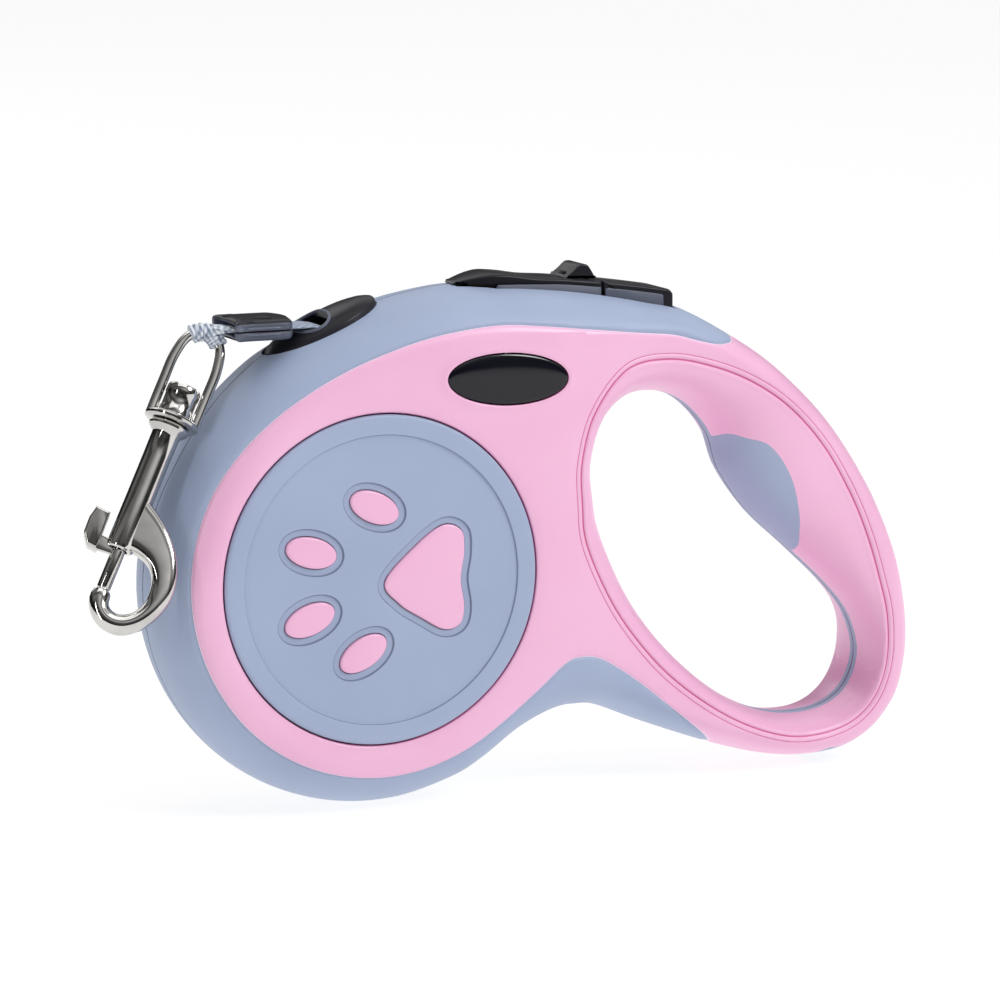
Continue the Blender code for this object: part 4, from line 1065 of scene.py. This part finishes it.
def build_stopper():
    middle = (STOPPER_BOTTOM + STOPPER_TOP) / 2
    top, bottom = STOPPER_TOP, STOPPER_BOTTOM
    upper = [(0.12, middle + 0.15), (0.0, middle + 0.3), (0.0, top - 0.85), (0.09, top - 0.5),
             (0.33, top - 0.22), (0.75, top - 0.06), (1.3, top), (2.6, top), (4.2, top)]
    lower = [(1.6, bottom), (0.8, bottom + 0.06), (0.35, bottom + 0.25), (0.08, bottom + 0.6),
             (0.0, bottom + 0.9), (0.0, middle - 0.3), (0.12, middle - 0.15)]
    stopper_half("stopper_upper", upper, "black_plastic", 54.75)
    stopper_half("stopper_lower", lower, "dark_grey_plastic", 53.35)


# ---------------- bolt snap


DOWN, ACROSS, FACE = axes_of(HOOK_LOW - EYE_TOP, HOOK_FACING)
EYE_HALF = [(4.9, 21.4), (4.95, 17.6), (4.95, 12.5), (4.85, 7.2), (3.6, 2.4)]
EYE_PATH = [*EYE_HALF, (0, 0.1), *[(-s, t) for s, t in reversed(EYE_HALF)]]
CRESCENT_OUTER = [
    (1.0, 38.6), (2.6, 40.0), (5.2, 41.7), (8.6, 44.6), (11.6, 48.2), (13.6, 52.6), (14.3, 57.4),
    (13.2, 62.0), (10.6, 66.3), (6.8, 68.9), (2.6, 68.8), (-0.6, 66.6), (-2.1, 63.6), (-2.0, 61.2),
]
CRESCENT_INNER = [
    (1.6, 51.2), (4.2, 51.4), (6.9, 52.6), (8.9, 55.6), (9.3, 59.6), (7.8, 63.1), (5.0, 64.7), (2.6, 63.8),
    (2.0, 61.2),
]


def snap_point(across, along, out=0.0):
    """A point of the bolt snap from its distances across and along its axis, and towards its face."""
    return EYE_TOP + ACROSS * across + DOWN * along + FACE * out


def snap_turned(bm, profile, steps=SNAP_SIDES):
    """Turns a profile round the snap's axis and closes it at both ends."""
    return revolve(bm, [(0, profile[0][1])] + profile + [(0, profile[-1][1])], steps, EYE_TOP, DOWN, FACE)


def build_swivel():
    """The wire eye with its collar, and the rivet that turns in the collar."""
    path = [snap_point(across, along) for across, along in open_curve(EYE_PATH, 8)]
    bm = sweep(bmesh.new(), path, 1.2, 20, FACE, power=2.6, flat=0.92)
    snap_turned(bm, [(2.4, 20.5), (5.3, 20.5), (5.85, 20.75), (6.1, 21.2), (6.0, 21.7), (5.5, 22.05),
                     (2.4, 22.1)])
    placed(piece_object("swivel_eye_look", bm, [CHROME]), "swivel", "chrome", "swivel_eye")
    bm = bmesh.new()
    snap_turned(bm, [(1.7, 15.2), (2.1, 14.6), (2.35, 13.5), (2.9, 13.2), (3.45, 13.4), (3.7, 13.9),
                     (3.7, 15.4), (3.55, 15.7), (3.55, 18.4), (3.7, 18.8), (3.75, 20.0), (3.4, 20.4),
                     (2.0, 20.45), (2.0, 24.8)])
    placed(piece_object("swivel_rivet_look", bm, [CHROME]), "hook", "chrome", "swivel_rivet")


def crescent():
    """The hook's blade, flat where it leaves the barrel and round towards its tip."""
    count = 46
    outer = spaced(open_curve(CRESCENT_OUTER, 12), 1.0, closed=False)
    outer = spaced(outer, 0.01 + (len(outer) - 1) / count, closed=False)
    outer, inner = (at_lengths(line, np.linspace(0, lengths_along(line)[-1], count))
                    for line in (outer, open_curve(CRESCENT_INNER, 12)))
    rings = []
    for i, (o, n) in enumerate(zip(outer, inner)):
        t = i / (count - 1)
        middle, half = (o + n) / 2, (o - n) / 2
        power = 5.0 - 2.9 * min(max((t - 0.12) / 0.4, 0), 1)
        thick = 2.45 - 0.25 * min(max((t - 0.75) / 0.25, 0), 1)
        squeeze = 1.0 if i < count - 1 else 0.9
        rings.append([snap_point(*(middle + half * c * squeeze), s * thick * squeeze)
                      for c, s in superellipse(28, power)])
    return rings


def build_hook():
    bm = bmesh.new()
    snap_turned(bm, [(3.4, 22.2), (4.15, 22.35), (4.5, 22.8), (4.45, 23.3), (3.9, 23.9), (3.35, 24.3),
                     (3.1, 24.9), (3.05, 30.0), (3.05, 40.0), (3.1, 50.6), (2.95, 51.4), (2.6, 51.7),
                     (1.9, 51.7), (1.85, 49.0)])
    loft(bm, crescent())
    placed(piece_object("hook_body_look", bm, [CHROME], crease=32), "hook", "chrome", "hook_body")


def build_bolt():
    """The plunger, its arm and the thumb piece."""
    bm = bmesh.new()
    snap_turned(bm, [(1.1, 46.0), (1.4, 46.3), (1.5, 46.8), (1.5, 60.4), (1.3, 60.9), (0.8, 61.2)], 32)
    arm = [(-1.0, 50.3), (-1.0, 53.2), (-5.6, 53.4), (-5.6, 49.9)]
    thumb_piece = [(-4.5, 45.2), (-4.4, 49.5), (-4.4, 53.6), (-6.7, 53.3), (-8.2, 51.2), (-8.3, 47.6),
                   (-7.7, 45.0)]
    for corners, half, radius in ((arm, 0.8, 0.2), (thumb_piece, 2.7, 0.45)):
        loop = spaced(np.array(corners), 0.35)
        ways = left_of(loop)
        loft(bm, [[snap_point(across, along, out) for across, along in loop + ways * move]
                  for move, out in rounded_levels(half, radius)])
    placed(piece_object("bolt_plunger_look", bm, [CHROME]), "bolt", "chrome", "bolt_plunger")


def build_snap():
    build_swivel()
    build_hook()
    build_bolt()


def build_whipping():
    """The braided end of the tape, whipped round the top of the eye."""
    curve = open_curve(EYE_PATH, 40)
    top = lengths_along(curve)[-1] / 2
    path = [snap_point(*place) for place in at_lengths(curve, np.linspace(top - 3.9, top + 3.9, 97))]
    turns = 8

    def radius(t):
        ends = min(1.0, 10 * t + 0.62, 10 * (1 - t) + 0.62)
        return (1.66 + 0.42 * abs(math.sin(math.pi * turns * t)) ** 0.6) * ends

    piece = piece_object("tape_loop_look", sweep(bmesh.new(), path, radius, 28, FACE), [CORD], crease=75)
    placed(piece, "swivel", "tape_webbing", "tape_loop")


def build_tape_neck():
    """The gathered tape between the stopper block and the eye."""
    rings = []
    places = open_curve([(-24.5, 54.0), (-27.6, 54.0), (-29.8, 54.0), (-31.4, 53.95), (-32.8, 53.8)], 6)
    for i, (x, z) in enumerate(places):
        t = i / (len(places) - 1)
        wide, high = 4.7 - 2.2 * t**2, 0.45 + 1.0 * t**2
        ring = []
        for k in range(28):
            a = 2 * math.pi * k / 28
            ripple = 1 + 0.10 * math.cos(7 * a)
            ring.append(Vector((x, math.cos(a) * wide * ripple, z + math.sin(a) * high * ripple)))
        rings.append(ring)
    neck = piece_object("tape_neck", loft(bmesh.new(), rings), [CORD], crease=60)
    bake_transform(neck)


# ---------------- buttons


def bar(bm, corners, half, radius, step=0.6):
    """A bar across the casing from its outline in the XZ plane, counterclockwise, with rounded ends."""
    return slab(bm, spaced(np.array(corners, float), step), rounded_levels(half, radius))


def side_panels(bm, corners):
    """Thin grey panels let into both sides."""
    loop = spaced(np.array(corners, float), 0.8)
    for side in (-1, 1):
        levels = ((0, -0.4), (0, 0.02), (0.12, 0.1))
        slab(bm, loop, [(move, side * (BUTTON_HALF_WIDTH + out)) for move, out in levels], index=1)


def build_button_base():
    """The fixed part of the group, with a nose that narrows towards the nozzle and a slot for the slider."""
    top = open_curve([(56.7, 60.9), (47.5, 61.9), (41.0, 62.4), (36.0, 63.2), (31.5, 63.6), (27.7, 63.25),
                      (23.4, 62.45), (20.6, 61.8)], 6)
    corners = [(23.3, 57.0), (33.0, 56.4), (56.7, 54.5), *top, (20.3, 61.5), (21.2, 61.3), (23.3, 61.2)]
    bm = bar(bmesh.new(), corners, BUTTON_HALF_WIDTH, 0.7)
    for vertex in bm.verts:
        before = max(NOSE_START - vertex.co.x, 0.0)
        vertex.co.y *= 1 - 0.62 * min(before / 11.5, 1.0) ** 1.6
        vertex.co.x += 0.2 * before
    panel_top = open_curve([(56.4, 59.6), (47.5, 60.6), (41.0, 60.9), (36.0, 61.1), (31.6, 61.2)], 4)
    side_panels(bm, [(31.0, 57.5), (56.4, 55.6), *panel_top])
    piece = piece_object("button_base_look", bm, [BLACK, DARK_GREY])
    cut(piece, box_cutter((48.8, -2.0, 50), (55.6, 2.0, 70)))
    placed(piece, "housing", "black_plastic", "button_base")


def build_brake_button():
    top = open_curve([(73.3, 58.2), (72.4, 58.55), (68.0, 59.3), (62.0, 60.2), (57.2, 60.85)], 5)
    bm = bar(bmesh.new(), [(57.2, 53.0), (74.0, 51.4), (74.0, 57.3), *top], BUTTON_HALF_WIDTH, 0.7)
    panel_top = open_curve([(71.4, 57.3), (68.0, 57.9), (62.0, 58.8), (57.5, 59.4)], 4)
    side_panels(bm, [(57.5, 53.6), (71.6, 52.2), *panel_top])
    piece = piece_object("brake_button_look", bm, [BLACK, DARK_GREY])
    placed(piece, "brake_button", "dark_grey_plastic", "brake_button")


def build_lock_slider():
    """A ridge for the thumb on a stem that runs in the slot."""
    ridge = open_curve([(55.5, 62.0), (54.6, 63.5), (53.8, 64.5), (52.9, 64.7), (51.9, 64.5), (50.4, 63.2),
                        (49.0, 62.2)], 6)
    bm = bar(bmesh.new(), [(48.6, 61.9), (56.0, 61.6), *ridge], 4.6, 0.45, step=0.4)
    bar(bm, [(49.2, 56.5), (51.3, 56.5), (51.3, 63.0), (49.2, 63.0)], 1.6, 0.1)
    placed(piece_object("lock_slider_look", bm, [BLACK]), "lock_slider", "black_plastic", "lock_slider")


# ---------------- studio


AIM = Vector((-0.03, 0, -0.01))


def area_light(name, place, size, power):
    """A rectangular lamp aimed at the object."""
    light = bpy.data.lights.new(name, "AREA")
    light.shape = "RECTANGLE"
    light.size, light.size_y = size
    light.energy = power
    made = linked(name, light)
    made.location = place
    made.rotation_euler = (AIM - Vector(place)).to_track_quat("-Z", "Y").to_euler()


def build_world():
    """Soft surroundings: bright overhead, dark at the horizon and to the left, with panels for the metal."""
    world = bpy.data.worlds.new("studio")
    bpy.context.scene.world = world
    world.use_nodes = True
    n = Tree(world.node_tree)
    background = world.node_tree.nodes["Background"]
    place = n.add("ShaderNodeTexCoord").outputs["Generated"]
    split = n.add("ShaderNodeSeparateXYZ")
    n.link(place, split.inputs["Vector"])
    height = n.scaled(split.outputs["Z"], 0.0, 1.0, -1.0, 1.0)
    sky = n.ramp(height, (0.0, 0.75), (0.48, 0.60), (0.51, 0.06), (0.64, 0.12), (0.78, 0.95), (1.0, 1.0))
    wave = n.add("ShaderNodeTexWave", wave_type="BANDS", bands_direction="DIAGONAL")
    wave.inputs["Scale"].default_value = 0.9
    wave.inputs["Distortion"].default_value = 1.5
    n.link(place, wave.inputs["Vector"])
    panels = n.mix(1.0, sky, n.ramp(wave.outputs["Fac"], (0.25, 0.35), (0.6, 1.0)), "MULTIPLY")
    sideways = n.scaled(split.outputs["X"], 0.0, 1.0, -1.0, 1.0)
    panels = n.mix(1.0, panels, n.ramp(sideways, (0.25, 0.20), (0.6, 1.0)), "MULTIPLY")
    seen = n.add("ShaderNodeLightPath").outputs["Is Camera Ray"]
    n.link(n.mix(seen, panels, (0.95, 0.95, 0.95)), background.inputs["Color"])


def build_floor():
    """Pale paper that gives off some light of its own, so that shadows on it stay faint."""
    n = Nodes("floor_paper")
    n.link(n.mix(n.noise(3.0, 2.0), (0.19, 0.19, 0.19), (0.21, 0.21, 0.21)), n.shader.inputs["Base Color"])
    n.link(n.bump(n.noise(900.0, 2.0), 0.05, 0.0001), n.shader.inputs["Normal"])
    n.set(Roughness=0.9, Emission_Color=(1, 1, 1, 1), Emission_Strength=0.85)
    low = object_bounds()[0][2] - 0.0003
    bm = bmesh.new()
    bm.faces.new([bm.verts.new((x, y, low)) for x, y in circle((0, 0), 8.0, 48)])
    mesh = bpy.data.meshes.new("floor")
    bm.to_mesh(mesh)
    bm.free()
    mesh.materials.append(n.material)
    linked("floor", mesh)


def build_studio():
    build_world()
    build_floor()
    area_light("key", (0.75, -1.0, 0.95), (0.45, 0.45), 10.9)
    area_light("top_softbox", (-0.1, -0.1, 1.1), (1.0, 1.0), 4.0)
    area_light("left_strip", (-0.95, -0.45, 0.10), (0.06, 0.8), 1.6)
    area_light("rear_fill", (-0.4, 1.8, 1.2), (1.2, 1.2), 6.0)


def build_camera():
    azimuth, elevation = math.radians(-23.173), math.radians(9.246)
    data = bpy.data.cameras.new("camera")
    data.lens = 180.0
    data.sensor_width = 36.0
    data.clip_end = 50.0
    camera = linked("camera", data)
    camera.location = (-0.497512, -1.000591, 0.173928)
    back = Vector((math.sin(azimuth) * math.cos(elevation), -math.cos(azimuth) * math.cos(elevation),
                   math.sin(elevation)))
    camera.rotation_euler = (-back).to_track_quat("-Z", "Y").to_euler()
    bpy.context.scene.camera = camera


refinish_nodes()
build_casing()
build_discs()
build_outlet()
build_stopper()
build_snap()
build_whipping()
build_tape_neck()
build_button_base()
build_brake_button()
build_lock_slider()
build_studio()
build_camera()
bpy.context.scene.view_settings.view_transform = "Standard"
